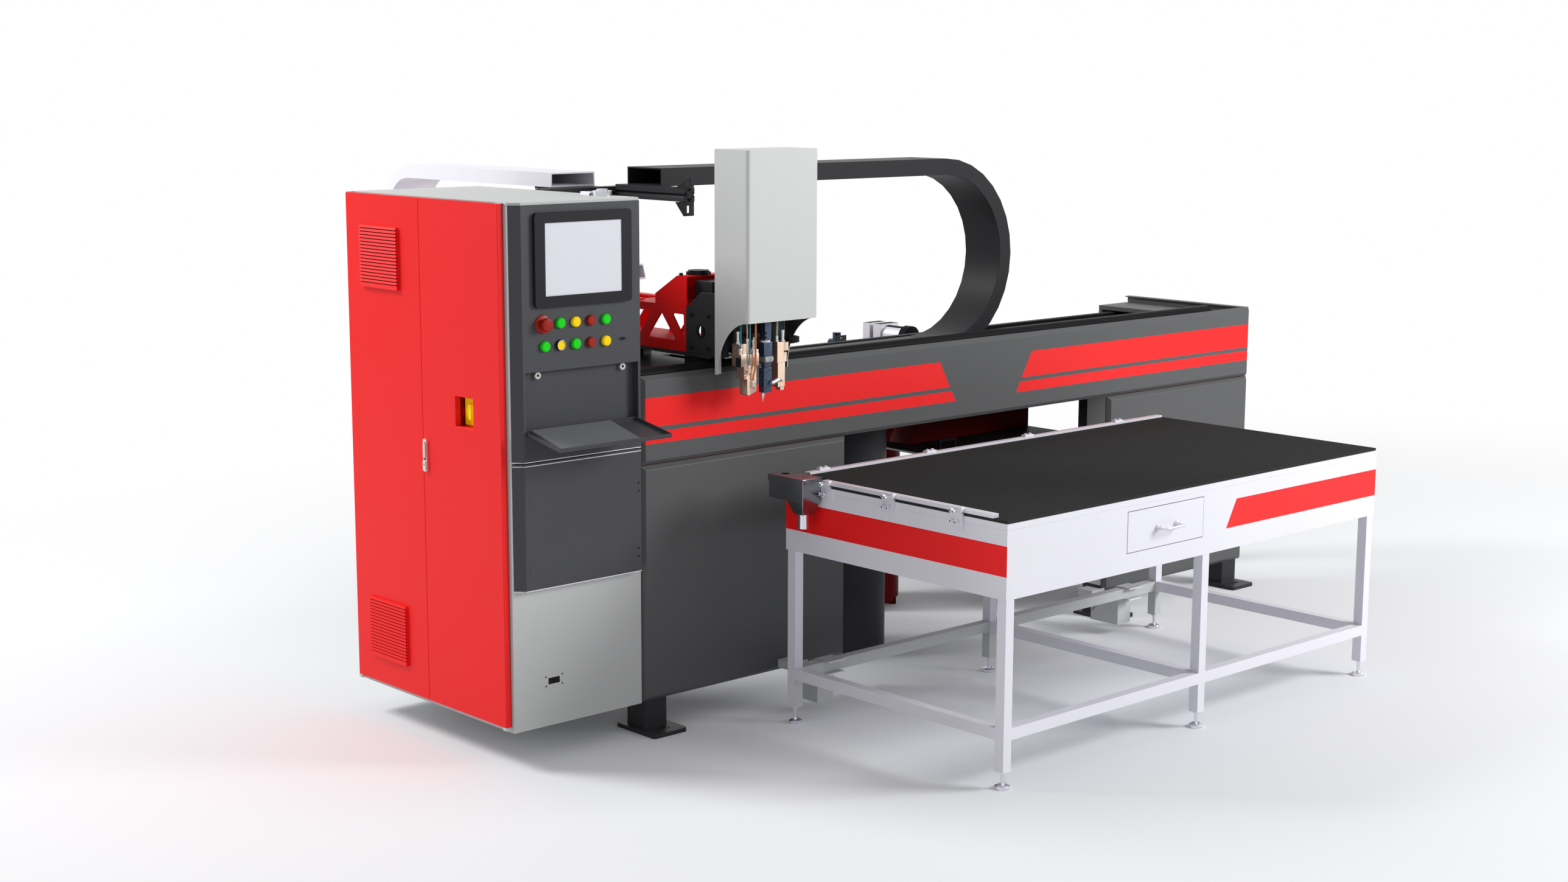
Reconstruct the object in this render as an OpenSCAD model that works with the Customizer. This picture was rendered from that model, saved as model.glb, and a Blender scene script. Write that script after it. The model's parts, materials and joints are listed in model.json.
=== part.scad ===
// Gantry machine that lays a foamed gasket bead, with its loading table and control cabinet.
// Millimetres, Z up. The origin lies on the floor, in the middle of the four outer anchor slots.
// The beam runs along X and the table stands in front of it, towards -Y.

/* [Beam and bed] */
// Length of the front cover's flat face
beam_len = 3461; // [3200:1:3700]
// Depth of the steel bed behind the front cover
bed_depth = 665; // [640:1:720]
// Height of the beam's top edge above the floor
bed_top = 1268; // [1250:1:1300]
// Height of the front cover
cover_h = 310; // [290:1:330]
// Depth of the folded front covers
cover_d = 20; // [18:1:30]
// Chamfer along the edges of the front covers
cover_chamfer = 15; // [8:1:17]
// Sheet thickness of the covers
sheet = 3; // [2:0.5:4]
// Wall of the bed's box section
bed_wall = 10; // [6:1:14]
// Depth of the ledge that carries each X rail
ledge_w = 120; // [115:1:140]
// Width of the X rail
rail_w = 30; // [25:1:32]
// Height of the X rail
rail_h = 26; // [24:1:30]
// Distance of each X rail from the middle of the bed
rail_y = 235; // [230:1:240]
// Height of the black guard strip in front of the rail
guard_h = 98; // [80:1:100]
// Width of the guard strip
guard_w = 54; // [40:1:55]

/* [Pedestals and feet] */
// Width of each pedestal's front panel
panel_w = 949; // [800:1:1000]
// Height of the panels' lower edge above the floor
panel_bottom = 116; // [100:1:140]
// Side of the square columns
col = 100; // [80:1:110]
// Wall of the columns
col_wall = 6; // [4:0.5:8]
// Width of a foot plate along the beam
foot_w = 150; // [140:1:180]
// Length of a foot plate across the beam
foot_l = 217; // [205:1:240]
// Thickness of a foot plate
foot_t = 15; // [10:1:20]
// Distance between the outer columns along the beam
foot_span = 3356; // [3300:2:3380]
// Length of an anchor slot, end to end
slot_l = 45; // [36:1:50]
// Width of an anchor slot
slot_w = 18; // [14:1:20]
// Height of the black lower part of the inner post
post_base_h = 125; // [100:1:150]

/* [Control cabinet] */
// Width of the cabinet along the beam
cab_w = 544; // [520:1:600]
// Depth of the cabinet
cab_d = 937; // [900:1:980]
// Height of the cabinet's floor above the ground
cab_bottom = 117; // [100:1:130]
// Height of the roof above the ground
cab_top = 1872; // [1850:1:1920]
// Wall of the cabinet
cab_wall = 12; // [8:1:16]
// Thickness of a door
door_t = 22; // [18:1:26]
// Running gap round the doors
door_gap = 3; // [2:0.5:5]
// Height of the doors' lower edge above the ground
door_bottom = 139; // [130:1:150]
// Width of the front door
front_door_w = 457; // [430:1:470]
// Height of a louvred vent
vent_h = 214; // [190:1:240]
// Width of a louvred vent
vent_w = 232; // [200:1:250]
// Number of louvre slats in a vent
slats = 18; // [10:1:20]
// Depth of the control covers in front of the cabinet
panel_d = 30; // [26:1:40]
// Side of the screen frame
screen_w = 398; // [380:1:410]
// Height of the screen frame
screen_h = 308; // [290:1:315]
// Diameter of a push button's head
button_d = 30; // [26:1:34]
// Travel of a push button
button_travel = 5; // [3:0.5:7]
// Pitch of the push buttons
button_pitch = 62.7; // [56:0.1:66]
// Width of the recess behind the keyboard tray
recess_w = 468; // [460:1:480]
// Length of the keyboard tray from hinge to front edge
tray_l = 199; // [190:1:200]
// Height of the keyboard tray's rim
tray_h = 14; // [10:1:18]

/* [Arm and head] */
// Width of the truss arm
arm_w = 205; // [195:1:215]
// Length of the truss arm
arm_len = 1543; // [1500:1:1600]
// Height of the truss arm
arm_h = 162; // [150:1:170]
// Thickness of the truss side plates
arm_wall = 8; // [6:1:10]
// Distance from one upright opening to the next inverted one
truss_pitch = 134; // [125:1:140]
// Height of the truss openings
truss_open_h = 98; // [85:1:100]
// Width of the mixing head's cover
hood_w = 331; // [320:1:345]
// Depth of the mixing head's cover
hood_d = 173; // [168:1:190]
// Height of the mixing head's cover
hood_h = 782; // [760:1:800]
// Height of the cover's front skirt edge above its lowest point
hood_open_h = 191; // [180:1:200]
// Stroke of the mixing head
z_stroke = 235; // [200:1:235]
// Width of the mixing chamber block
head_w = 38; // [34:1:42]

/* [Cable chains] */
// Width of the black chain
x_chain_w = 196; // [180:1:200]
// Height of the black chain's section
x_chain_h = 66; // [60:1:70]
// Bend radius of the black chain at its middle
x_chain_r = 370; // [360:1:375]
// Width of the white chain
y_chain_w = 200; // [180:1:205]
// Height of the white chain's section
y_chain_h = 52; // [48:1:56]
// Bend radius of the white chain at its middle
y_chain_r = 162; // [158:1:165]
// Wall of both chains
chain_wall = 5; // [3:0.5:6]
// Number of links round each bend
chain_links = 16; // [10:1:24]
// Side of the slotted support bars
bar = 49; // [45:1:50]

/* [Table] */
// Length of the table along the beam
table_l = 2100; // [2000:1:2200]
// Depth of the table
table_d = 1040; // [980:1:1060]
// Height of the table top under its felt
table_h = 882; // [870:1:885]
// Height of the table's apron
apron_h = 249; // [230:1:260]
// Thickness of the felt
felt_t = 10; // [6:1:12]
// Side of the table legs
leg = 38; // [34:1:42]
// Height of the legs' lower end above the floor
leg_bottom = 58; // [55:1:70]
// Height of the lower rails
rail_low = 163; // [150:1:180]
// Width of the drawer front
drawer_w = 415; // [380:1:430]
// Height of the drawer front
drawer_h = 140; // [120:1:150]
// Depth of the drawer
drawer_d = 420; // [380:1:450]
// Diameter of a levelling foot
level_d = 52; // [46:1:56]

/* [Supply unit] */
// Diameter of the red material tank
tank_d = 336; // [300:1:345]
// Height of the red tank's lid above the floor
tank_top = 1112; // [1090:1:1120]

/* [Hidden] */

// Clearances and shared tolerances
fit = 0.3;
seat = 0.3;
tiny = 1;

// Machine frame
half_depth = (bed_depth + cover_d) / 2;
face_y = -half_depth;
bed_y0 = face_y + cover_d;
bed_y1 = half_depth;
half_len = beam_len / 2;
end_x = half_len + cover_chamfer;
bed_ends = [[-end_x - 10, -half_len], [half_len, end_x - tiny]];
cover_bottom = bed_top - cover_h;
box_top = 1125;
ledge_z = 1192;
bed_wall_top = 1240;
rear_wall_top = 1200;
rail_top = ledge_z + rail_h;
anchor_y = half_depth + 11;
foot_x = foot_span / 2;
foot_front = anchor_y + 54;
post_x = half_len - panel_w - cover_chamfer + 1;

// Cabinet
cab_x1 = -end_x - 10;
cab_x0 = cab_x1 - cab_w;
cab_y0 = face_y;
cab_y1 = cab_y0 + cab_d;
door_x1 = cab_x0 - door_gap;
door_x0 = door_x1 - door_t;
door_y0 = cab_y0 + 12;
door_y1 = cab_y1 - 10;
door_top = cab_top + 6;
split_y = door_y0 + front_door_w;
hinge_r = 4;
hinge_in = 8;
hinge_x = door_x0 + hinge_in;
panel_y0 = cab_y0 - panel_d;
screen_z1 = cab_top - 25;
button_row1 = screen_z1 - screen_h - 55;
button_row2 = button_row1 - 73;
recess_z1 = button_row2 - 82;
recess_z0 = recess_z1 - 196;
cover_split = recess_z0 - 98;
lower_top = cover_split - 9;
lower_bottom = lower_top - 423;
tray_open = 100.5;
hinge_pin_y = panel_y0 + 6.5;
hinge_pin_z = recess_z0 - 2;
button_x = cab_x1 - 294.8;
stop_place = [button_x - 131, button_row1];

// Arm
arm_x0 = -1419.5;
arm_z0 = 1313;
arm_y0 = -188.5;
arm_y1 = arm_y0 + arm_len;
base_z0 = 1300;
saddle_z0 = rail_top + 18;
saddle_z1 = saddle_z0 + 20;
carriage_x0 = -1700;
carriage_x1 = -1150;
hood_x0 = -1446.5;
hood_y0 = -550.5;
hood_z0 = 1254;
hood_z1 = hood_z0 + hood_h;
head_x = -1306;
head_y = -485;
head_rail_x = -1319;
valve_x = [-1361, -1262.5];
valve_y = -500;

saddle_y0 = -263;
saddle_y1 = 321;
y_rail_x = [arm_x0 + arm_w / 2 - 37.5, arm_x0 + arm_w / 2 + 37.5];
y_rail_w = 20;
y_rail_z = 1318;
inner_plate_z = 1340;
arm_top = arm_z0 + arm_h;
hood_x1 = hood_x0 + hood_w;
hood_y1 = hood_y0 + hood_d;
bracket_y0 = arm_y0 - 217;
slide_y = bracket_y0 - seat;

// Chains
x_chain_x0 = -1369.5;
x_loop_x = 115.5;
x_chain_y0 = 4.5;
x_chain_z = 1889 + x_chain_h / 2 + seat;
x_loop_z = x_chain_z - x_chain_r;
x_guide_l = 1235;
y_chain_x0 = -1599.5;
y_chain_y0 = 359.5;
y_loop_y = 1310.5;
y_chain_z = 1880 + y_chain_h / 2 + seat;
y_loop_z = y_chain_z - y_chain_r;
y_guide_l = 1256;

// Table
table_x = -1269.5;
table_y = -1595.5;
apron_z = table_h - apron_h;
felt_top = table_h + felt_t;
press = 0.6;

// Supply unit
tank_x = 190.5;
black_tank_x = -389.5;
motor_x = 340.5;
tank_y = bed_y1 + 44 + tank_d / 2;

// A block between two corners given as ranges
module block(x, y, z) {
    translate([x[0], y[0], z[0]]) cube([x[1] - x[0], y[1] - y[0], z[1] - z[0]]);
}

// Extrudes a (y, z) outline from x0 to x1
module along_x(x0, x1) {
    translate([x0, 0, 0]) rotate([90, 0, 90]) linear_extrude(x1 - x0) children();
}

// Extrudes an (x, z) outline from y0 to y1
module along_y(y0, y1) {
    translate([0, y1, 0]) rotate([90, 0, 0]) linear_extrude(y1 - y0) children();
}

// Extrudes an (x, y) outline from z0 to z1
module along_z(z0, z1) {
    translate([0, 0, z0]) linear_extrude(z1 - z0) children();
}

// Outline of a rectangle with round corners
module rounded(x, y, r) {
    for (cx = [x[0] + r, x[1] - r], cy = [y[0] + r, y[1] - r]) translate([cx, cy]) circle(r, $fn = 32);
    translate([x[0] + r, y[0]]) square([x[1] - x[0] - 2 * r, y[1] - y[0]]);
    translate([x[0], y[0] + r]) square([x[1] - x[0], y[1] - y[0] - 2 * r]);
}

// Outline of a slot along X
module slot_outline(length, width) {
    for (s = [-1, 1]) translate([s * (length - width) / 2, 0]) circle(width / 2, $fn = 32);
    square([length - width, width], center = true);
}

// Points of a polygon whose corners are rounded by radius r
function unit(v) = v / norm(v);
function fillet(a, b, c, r, n) = let (
    u = unit(a - b), v = unit(c - b), half = acos(u * v) / 2,
    mid = b + unit(u + v) * r / sin(half), start = b + u * r / tan(half), stop = b + v * r / tan(half),
    a0 = atan2(start[1] - mid[1], start[0] - mid[0]), a1 = atan2(stop[1] - mid[1], stop[0] - mid[0]),
    turn = a1 - a0 > 180 ? a1 - a0 - 360 : a1 - a0 < -180 ? a1 - a0 + 360 : a1 - a0
) [for (i = [0:n]) mid + r * [cos(a0 + turn * i / n), sin(a0 + turn * i / n)]];
function soften(p, r, n = 4) = [for (i = [0:len(p) - 1])
    each fillet(p[(i + len(p) - 1) % len(p)], p[i], p[(i + 1) % len(p)], r, n)];

// A folded front: chamfered on all four sides, from z0 to z1, open towards the back
module folded_front(x0, x1, z0, z1, back, c) {
    intersection() {
        along_x(x0 - c, x1 + c) polygon([[back, z0], [face_y + c, z0], [face_y, z0 + c],
            [face_y, z1 - c], [face_y + c, z1], [back, z1]]);
        along_z(z0 - tiny, z1 + tiny) polygon([[x0 - c, back], [x0 - c, face_y + c], [x0, face_y],
            [x1, face_y], [x1 + c, face_y + c], [x1 + c, back]]);
    }
}

module folded_tray(x0, x1, z0, z1) {
    lip = 30;
    c = cover_chamfer;
    difference() {
        folded_front(x0, x1, z0, z1, bed_y0, c);
        block([x0 - c + sheet, x1 + c - sheet], [face_y + c, bed_y0 - sheet], [z0 + sheet, z1 - sheet]);
        block([x0 + lip, x1 - lip], [bed_y0 - sheet - tiny, bed_y0 + tiny], [z0 + lip, z1 - lip]);
    }
}

// Machine frame: a welded bed with a chain trough between two rail ledges
// The box beam, with the ledges, the rear wall and the end plates that stand on it
module bed_section() {
    difference() {
        translate([bed_y0, cover_bottom]) square([bed_depth, box_top - cover_bottom]);
        translate([bed_y0 + bed_wall, cover_bottom + bed_wall])
            square([bed_depth - 2 * bed_wall, box_top - cover_bottom - 2 * bed_wall]);
    }
}

module machine_bed() {
    color("dimgray") {
        along_x(-half_len, half_len) bed_section();
        difference() {
            for (x = bed_ends) block(x, [bed_y0, bed_y1], [cover_bottom, box_top]);
            for (x = [-end_x - 11, half_len - tiny], y = [-150, 150]) translate([x, y, 1042])
                rotate([0, 90, 0]) cylinder(30, 45, 45, $fn = 64);
        }
        z = box_top + seat;
        for (x = bed_ends) block(x, [bed_y0, bed_y1], [z, bed_wall_top]);
        inner = [-half_len + seat, half_len - seat];
        block(inner, [bed_y0, bed_y0 + ledge_w], [z, ledge_z]);
        block(inner, [bed_y1 - ledge_w, bed_y1 - 12 - seat], [z, ledge_z]);
        block(inner, [bed_y1 - 12, bed_y1], [z, rear_wall_top]);
    }
}

module front_cover() {
    color("dimgray") folded_tray(-half_len, half_len, cover_bottom, bed_top);
}

module pedestal_panels() {
    color("dimgray") for (s = [0, 1]) {
        x0 = s == 0 ? -half_len : half_len - panel_w;
        folded_tray(x0, x0 + panel_w, panel_bottom, cover_bottom - 2);
    }
}

// A square tube standing on a slotted foot plate; the slot points outwards with side = -1 or 1
module column(x, y, side, z1) {
    front = y < 0 ? -1 : 1;
    plate_y = front * (foot_front - foot_l / 2);
    difference() {
        union() {
            along_z(0, foot_t) translate([x, plate_y]) rounded([-foot_w / 2, foot_w / 2],
                [-foot_l / 2, foot_l / 2], 12);
            along_z(foot_t, z1) translate([x, y]) square(col, center = true);
        }
        along_z(foot_t, z1 + tiny) translate([x, y]) square(col - 2 * col_wall, center = true);
        along_z(-tiny, foot_t + tiny) translate([x + side * 9, front * anchor_y]) slot_outline(slot_l, slot_w);
        translate([x - side * 24, front * (anchor_y + 11), -tiny]) cylinder(foot_t + 2 * tiny, 5, 5, $fn = 32);
    }
}

module floor_columns() {
    y = bed_y1 - col / 2;
    color([0.13, 0.13, 0.14]) {
        for (s = [-1, 1]) column(s * foot_x, -(half_depth - cover_d - col / 2), s, cover_bottom);
        for (s = [-1, 1]) column(s * foot_x, y, s, cover_bottom);
        column(post_x + col / 2, y, 1, cover_bottom);
        column(-post_x - col / 2, y, -1, cover_bottom);
        column(post_x + col / 2, bed_y0 + col / 2, 1, foot_t + post_base_h);
    }
}

module support_post() {
    z0 = foot_t + post_base_h;
    color("silver") difference() {
        block([post_x, post_x + col], [bed_y0, bed_y0 + col], [z0, cover_bottom]);
        block([post_x + col_wall, post_x + col - col_wall], [bed_y0 + col_wall, bed_y0 + col - col_wall],
            [z0 - tiny, cover_bottom + tiny]);
    }
}

// Hood over the end of the bed, open towards the carriage
module end_box() {
    x0 = 1500;
    y0 = bed_y0 + guard_w + 8;
    y1 = bed_y1 - 14;
    color("dimgray") {
        z = ledge_z + seat;
        roof = bed_wall_top - 20;
        x1 = half_len - 20;
        block([x0, half_len - tiny], [y0, y1], [roof, bed_wall_top + seat]);
        block([x0, x1 - seat], [y0, y0 + 20], [z, roof - seat]);
        block([x0, x1 - seat], [y1 - 20, y1], [z, roof - seat]);
        block([x1, half_len - tiny], [y0, y1], [z, roof - seat]);
        block([half_len - 4, end_x], [bed_y0 + 2, bed_y1], [bed_wall_top + seat, 1264]);
        block([half_len - 22, end_x], [bed_y0 + 2, bed_y1], [1264, 1268]);
    }
}

// Two profiled guide rails and the rounded guard strip in front of them
module rail_section() {
    groove = 5;
    polygon([[-rail_w / 2, 0], [rail_w / 2, 0], [rail_w / 2, 9], [rail_w / 2 - groove, 13],
        [rail_w / 2, 19], [rail_w / 2, rail_h], [-rail_w / 2, rail_h], [-rail_w / 2, 19],
        [-rail_w / 2 + groove, 13], [-rail_w / 2, 9]]);
}

module guard_section() {
    r = 22;
    square([guard_w, guard_h - r]);
    translate([r, guard_h - r]) circle(r, $fn = 48);
    translate([guard_w - r, guard_h - r]) circle(r, $fn = 48);
    translate([r, guard_h - r]) square([guard_w - 2 * r, r]);
}

module x_rails() {
    color([0.2, 0.2, 0.22]) {
        for (s = [-1, 1]) along_x(-half_len + 20, 1480) translate([s * rail_y, ledge_z]) rail_section();
        along_x(-half_len, 1480) translate([bed_y0 + 2, ledge_z]) guard_section();
    }
}

// Control cabinet: a shell open at its left side, where the doors hang
module cabinet_body() {
    frame = 24;
    color([0.72, 0.73, 0.72]) {
        difference() {
            block([cab_x0, cab_x1], [cab_y0, cab_y1], [cab_bottom, cab_top]);
            block([cab_x0 + cab_wall, cab_x1 - cab_wall], [cab_y0 + cab_wall, cab_y1 - cab_wall],
                [cab_bottom + cab_wall, cab_top + tiny]);
            block([cab_x0 - tiny, cab_x0 + cab_wall + tiny], [door_y0 + frame, split_y - 12],
                [door_bottom + frame, door_top - frame]);
            block([cab_x0 - tiny, cab_x0 + cab_wall + tiny], [split_y + 12, door_y1 - frame],
                [door_bottom + frame, door_top - frame]);
            socket_cut();
        }
        for (y = [door_y0, door_y1 - 20]) {
            block([door_x0, cab_x0], [y, y + 20], [door_bottom - 12, door_bottom - seat]);
            translate([hinge_x, y == door_y0 ? y + hinge_in : y + 20 - hinge_in, door_bottom - seat - tiny])
                cylinder(14, hinge_r, hinge_r, $fn = 32);
        }
    }
}

// Cut-out for the mains connector and its four screws in the front wall
module socket_cut() {
    x = cab_x0 + 166;
    z = 272;
    block([x - 24, x + 24], [cab_y0 - tiny, cab_y0 + cab_wall + tiny], [z - 11, z + 11]);
    for (sx = [-1, 1], sz = [-1, 1]) translate([x + sx * 34, cab_y0 - tiny, z + sz * 16])
        rotate([-90, 0, 0]) cylinder(cab_wall + 2 * tiny, 3, 3, $fn = 24);
}

// The roof follows the control covers, and an ear over each door carries its upper pivot pin
module cabinet_roof() {
    t = 9;
    color([0.8, 0.81, 0.8]) {
        along_z(cab_top, cab_top + t) polygon([[cab_x0, cab_y1], [cab_x0, cab_y0], [cab_x0 + 7, cab_y0],
            [cab_x0 + 37, panel_y0], [cab_x1 - 20, panel_y0], [cab_x1 - 20, cab_y0], [cab_x1, cab_y0],
            [cab_x1, cab_y1]]);
        for (y = [door_y0 + hinge_in, door_y1 - hinge_in]) {
            block([hinge_x - 6, cab_x0 + tiny], [y - 7, y + 7], [door_top + seat, cab_top + t]);
            translate([hinge_x, y, door_top - 12]) cylinder(12 + seat + tiny, hinge_r, hinge_r, $fn = 32);
        }
    }
}

// One door leaf with the bores for its two pivot pins
module door_leaf(y0, y1, pin_y) {
    difference() {
        block([door_x0, door_x1], [y0, y1], [door_bottom, door_top]);
        block([door_x0 + 2, door_x1 + tiny], [y0 + 22, y1 - 14], [door_bottom + 22, door_top - 22]);
        for (z = [door_bottom - tiny, door_top - 15]) translate([hinge_x, pin_y, z])
            cylinder(15 + tiny, hinge_r + fit, hinge_r + fit, $fn = 32);
    }
}

module front_door() {
    y1 = split_y - door_gap / 2;
    color("red") difference() {
        union() {
            door_leaf(door_y0, y1, door_y0 + hinge_in);
            block([door_x0 - 8, door_x0], [y1 - 34, y1 - 4], [949, 1063]);
            block([door_x0, door_x1], [-182, -62], [1118, 1238]);
        }
        block([door_x0 - tiny, door_x1 + tiny], [-173.5, -70.5], [1127, 1229]);
        translate([door_x0 - 9, y1 - 19, 1046]) rotate([0, 90, 0]) cylinder(9.5, 5 + fit, 5 + fit, $fn = 32);
    }
}

module rear_door() {
    color("red") door_leaf(split_y + door_gap / 2, door_y1, door_y1 - hinge_in);
}

module vent(y, z) {
    pitch = (vent_h - 22) / slats;
    block([door_x0 - 4, door_x0], [y, y + vent_w], [z, z + vent_h]);
    for (i = [0:slats - 1]) along_y(y + 10, y + vent_w - 10)
        polygon([[door_x0 - 4, z + 11 + i * pitch], [door_x0 - 13, z + 11 + i * pitch],
            [door_x0 - 4, z + 11 + (i + 0.86) * pitch]]);
}

module door_vents() {
    color([0.82, 0.1, 0.1]) for (z = [234, 1557]) vent(252.5, z);
}

module swing_handle() {
    y = split_y - door_gap / 2 - 19;
    x = door_x0 - 8 - fit;
    color("silver") {
        translate([x + 8, y, 1046]) rotate([0, -90, 0]) cylinder(16, 5, 5, $fn = 32);
        along_z(956, 1056) translate([x - 9, y]) rounded([-7, 7 + 2], [-9, 9], 4);
    }
}

// Isolator behind the door's window: its knob turns a quarter
module switch_knob() {
    color("gold") translate([door_x1 + 5, -122, 1178]) rotate([0, 90, 0]) {
        cylinder(8, 27, 27, $fn = 48);
        block([-26, 26], [-7, 7], [-4, 0]);
        cylinder(20, 6, 6, $fn = 32);
    }
}

// Plate inside the cabinet with the drives, the power supplies and the isolator on it
module mounting_plate() {
    x = cab_x1 - cab_wall;
    color([0.75, 0.76, 0.78]) {
        block([x - 16, x], [cab_y0 + 60, cab_y1 - 60], [cab_bottom + 120, cab_top - 120]);
        for (i = [0:3]) block([x - 190, x - 16], [-230 + i * 105, -155 + i * 105], [1310, 1540]);
        for (i = [0:2]) block([x - 130, x - 16], [-230 + i * 150, -110 + i * 150], [960, 1130]);
        block([x - 76, x - 16], [-230, 450], [1190, 1240]);
        block([x - 226, x - 16], [-200, 60], [420, 700]);
        block([x - 150, x - 16], [180, 460], [420, 640]);
    }
    color("gold") {
        difference() {
            block([door_x1 + 15, door_x1 + 90], [cab_y0 + cab_wall, -75], [1130, 1226]);
            translate([door_x1 + 14, -122, 1178]) rotate([0, 90, 0]) cylinder(13, 6 + fit, 6 + fit, $fn = 32);
        }
    }
}

// Outline of the control covers seen from above
function cover_plan(inset) = [[cab_x0 + 7 + inset, cab_y0], [cab_x0 + 37 + inset * 0.6, panel_y0 + inset],
    [cab_x1 - 20 - inset, panel_y0 + inset], [cab_x1 - 20 - inset, cab_y0]];

module button_hole(x, z, r) {
    translate([x, panel_y0 - tiny, z]) rotate([-90, 0, 0]) cylinder(sheet + 2 * tiny, r, r, $fn = 32);
}

module collar(x, z, r, inner) {
    translate([x, panel_y0, z]) rotate([90, 0, 0]) difference() {
        cylinder(9, r, r, $fn = 48);
        translate([0, 0, -tiny]) cylinder(9 + 2 * tiny, inner, inner, $fn = 48);
    }
}

function button_place(k, row) = [button_x + k * button_pitch, row == 1 ? button_row1 : button_row2];
buttons = [for (k = [-1:2]) button_place(k, 1), for (k = [-2:2]) button_place(k, 2)];

module upper_cover() {
    x1 = cab_x1 - 30;
    x0 = x1 - recess_w;
    color([0.3, 0.3, 0.32]) {
        difference() {
            along_z(cover_split, cab_top - seat) polygon(cover_plan(0));
            difference() {
                along_z(cover_split + sheet, cab_top - sheet) polygon([for (p = cover_plan(sheet))
                    [p[0], min(p[1], cab_y0 + tiny)]]);
                block([x0 - sheet, x1 + sheet], [panel_y0 - tiny, cab_y0], [recess_z0 - 13 - sheet,
                    recess_z1 + sheet]);
            }
            block([x0, x1], [panel_y0 - tiny, cab_y0 - sheet], [recess_z0 - 13, recess_z1]);
            for (b = buttons) button_hole(b[0], b[1], 11 + fit);
            button_hole(stop_place[0], stop_place[1], 11 + fit);
            block([-1863, -1841], [panel_y0 - tiny, panel_y0 + sheet + tiny], [1407, 1417]);
        }
        for (x = [x0, x1 - 5]) translate([x, hinge_pin_y, hinge_pin_z]) rotate([0, 90, 0])
            cylinder(5, 3, 3, $fn = 32);
    }
    color([0.15, 0.15, 0.16]) for (b = buttons) collar(b[0], b[1], button_d / 2 + 2.5, button_d / 2 + fit);
    color([0.45, 0.1, 0.1]) collar(stop_place[0], stop_place[1], 31, 15 + fit);
    color([0.85, 0.84, 0.8]) for (x = [-2200.5, -1848]) translate([x, cab_y0 - sheet, 1308])
        rotate([90, 0, 0]) difference() {
            cylinder(6, 13.5, 13.5, $fn = 48);
            translate([0, 0, 2]) cylinder(5, 3, 3, $fn = 24);
        }
}

module lower_cover() {
    color([0.27, 0.28, 0.3]) difference() {
        along_z(lower_bottom, lower_top) polygon(cover_plan(0));
        along_z(lower_bottom + sheet, lower_top - sheet) polygon([for (p = cover_plan(sheet))
            [p[0], min(p[1], cab_y0 + tiny)]]);
    }
    color("silver") for (z = [lower_bottom - 3, lower_top, cover_split - 3]) along_z(z, z + 3)
        polygon([for (p = cover_plan(0)) [p[0], p[1]]]);
}

module touch_screen() {
    x0 = cab_x1 - 64 - screen_w;
    z0 = screen_z1 - screen_h;
    border = 41;
    color([0.2, 0.2, 0.22]) difference() {
        along_y(panel_y0 - 14, panel_y0) rounded([x0, x0 + screen_w], [z0, z0 + screen_h], 14);
        along_y(panel_y0 - 15, panel_y0 - 11) rounded([x0 + border, x0 + screen_w - border],
            [z0 + 36, z0 + screen_h - 34], 3);
    }
}

module push_button(place) {
    translate([place[0], panel_y0, place[1]]) rotate([90, 0, 0]) {
        translate([0, 0, button_travel + 1]) cylinder(9, button_d / 2, button_d / 2, $fn = 48);
        translate([0, 0, -20]) cylinder(21 + button_travel, 11, 11, $fn = 32);
    }
}

module start_button() { color("lime") push_button(buttons[0]); }
module pause_button() { color("yellow") push_button(buttons[1]); }
module stop_button() { color("darkred") push_button(buttons[2]); }
module reset_button() { color("lime") push_button(buttons[3]); }
module power_button() { color("lime") push_button(buttons[4]); }
module light_button() { color("yellow") push_button(buttons[5]); }
module pump_button() { color("lime") push_button(buttons[6]); }
module purge_button() { color("darkred") push_button(buttons[7]); }
module home_button() { color("yellow") push_button(buttons[8]); }

module emergency_stop() {
    color("darkred") translate([stop_place[0], panel_y0, stop_place[1]]) rotate([90, 0, 0]) {
        translate([0, 0, 16]) rotate_extrude($fn = 48) polygon([[0, 0], [19, 0], [22, 3], [22, 8], [18, 14],
            [10, 17], [0, 18]]);
        translate([0, 0, -20]) cylinder(37, 11, 11, $fn = 32);
    }
}

// The keyboard tray is drawn folded up in its recess and then turned open
module turn_tray() {
    translate([0, hinge_pin_y, hinge_pin_z]) rotate([tray_open, 0, 0]) translate([0, -hinge_pin_y, -hinge_pin_z])
        children();
}

module keyboard_tray() {
    x1 = cab_x1 - 30 - 1.5;
    x0 = x1 - recess_w + 3;
    z0 = hinge_pin_z - 7.5;
    color([0.3, 0.3, 0.32]) turn_tray() difference() {
        block([x0, x1], [panel_y0, panel_y0 + tray_h], [z0, z0 + tray_l]);
        block([x0 + sheet, x1 - sheet], [panel_y0 + sheet, panel_y0 + tray_h + tiny],
            [z0 + sheet, z0 + tray_l - sheet]);
        translate([x0 - tiny, hinge_pin_y, hinge_pin_z]) rotate([0, 90, 0])
            cylinder(recess_w, 3 + fit, 3 + fit, $fn = 32);
    }
}

module keyboard() {
    x0 = cab_x1 - 30 - recess_w + 18;
    z0 = hinge_pin_z - 7.5 + sheet;
    y = panel_y0 + sheet;
    color([0.4, 0.41, 0.42]) turn_tray() along_x(x0, x0 + 325) polygon([[y, z0 + 12], [y + 15, z0 + 12],
        [y + 4, z0 + tray_l - 8], [y, z0 + tray_l - 8]]);
}

// Clamp with a turning arm on the roof, for the air line
module roof_swivel() {
    z = cab_top + 9;
    color([0.85, 0.86, 0.88]) {
        block([-1830, -1770], [-170, -120], [z, z + 12]);
        translate([-1790, -190, z]) cylinder(16, 34, 34, $fn = 48);
        translate([-1790, -190, z + 16]) cylinder(6, 20, 20, $fn = 48);
    }
}

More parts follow.
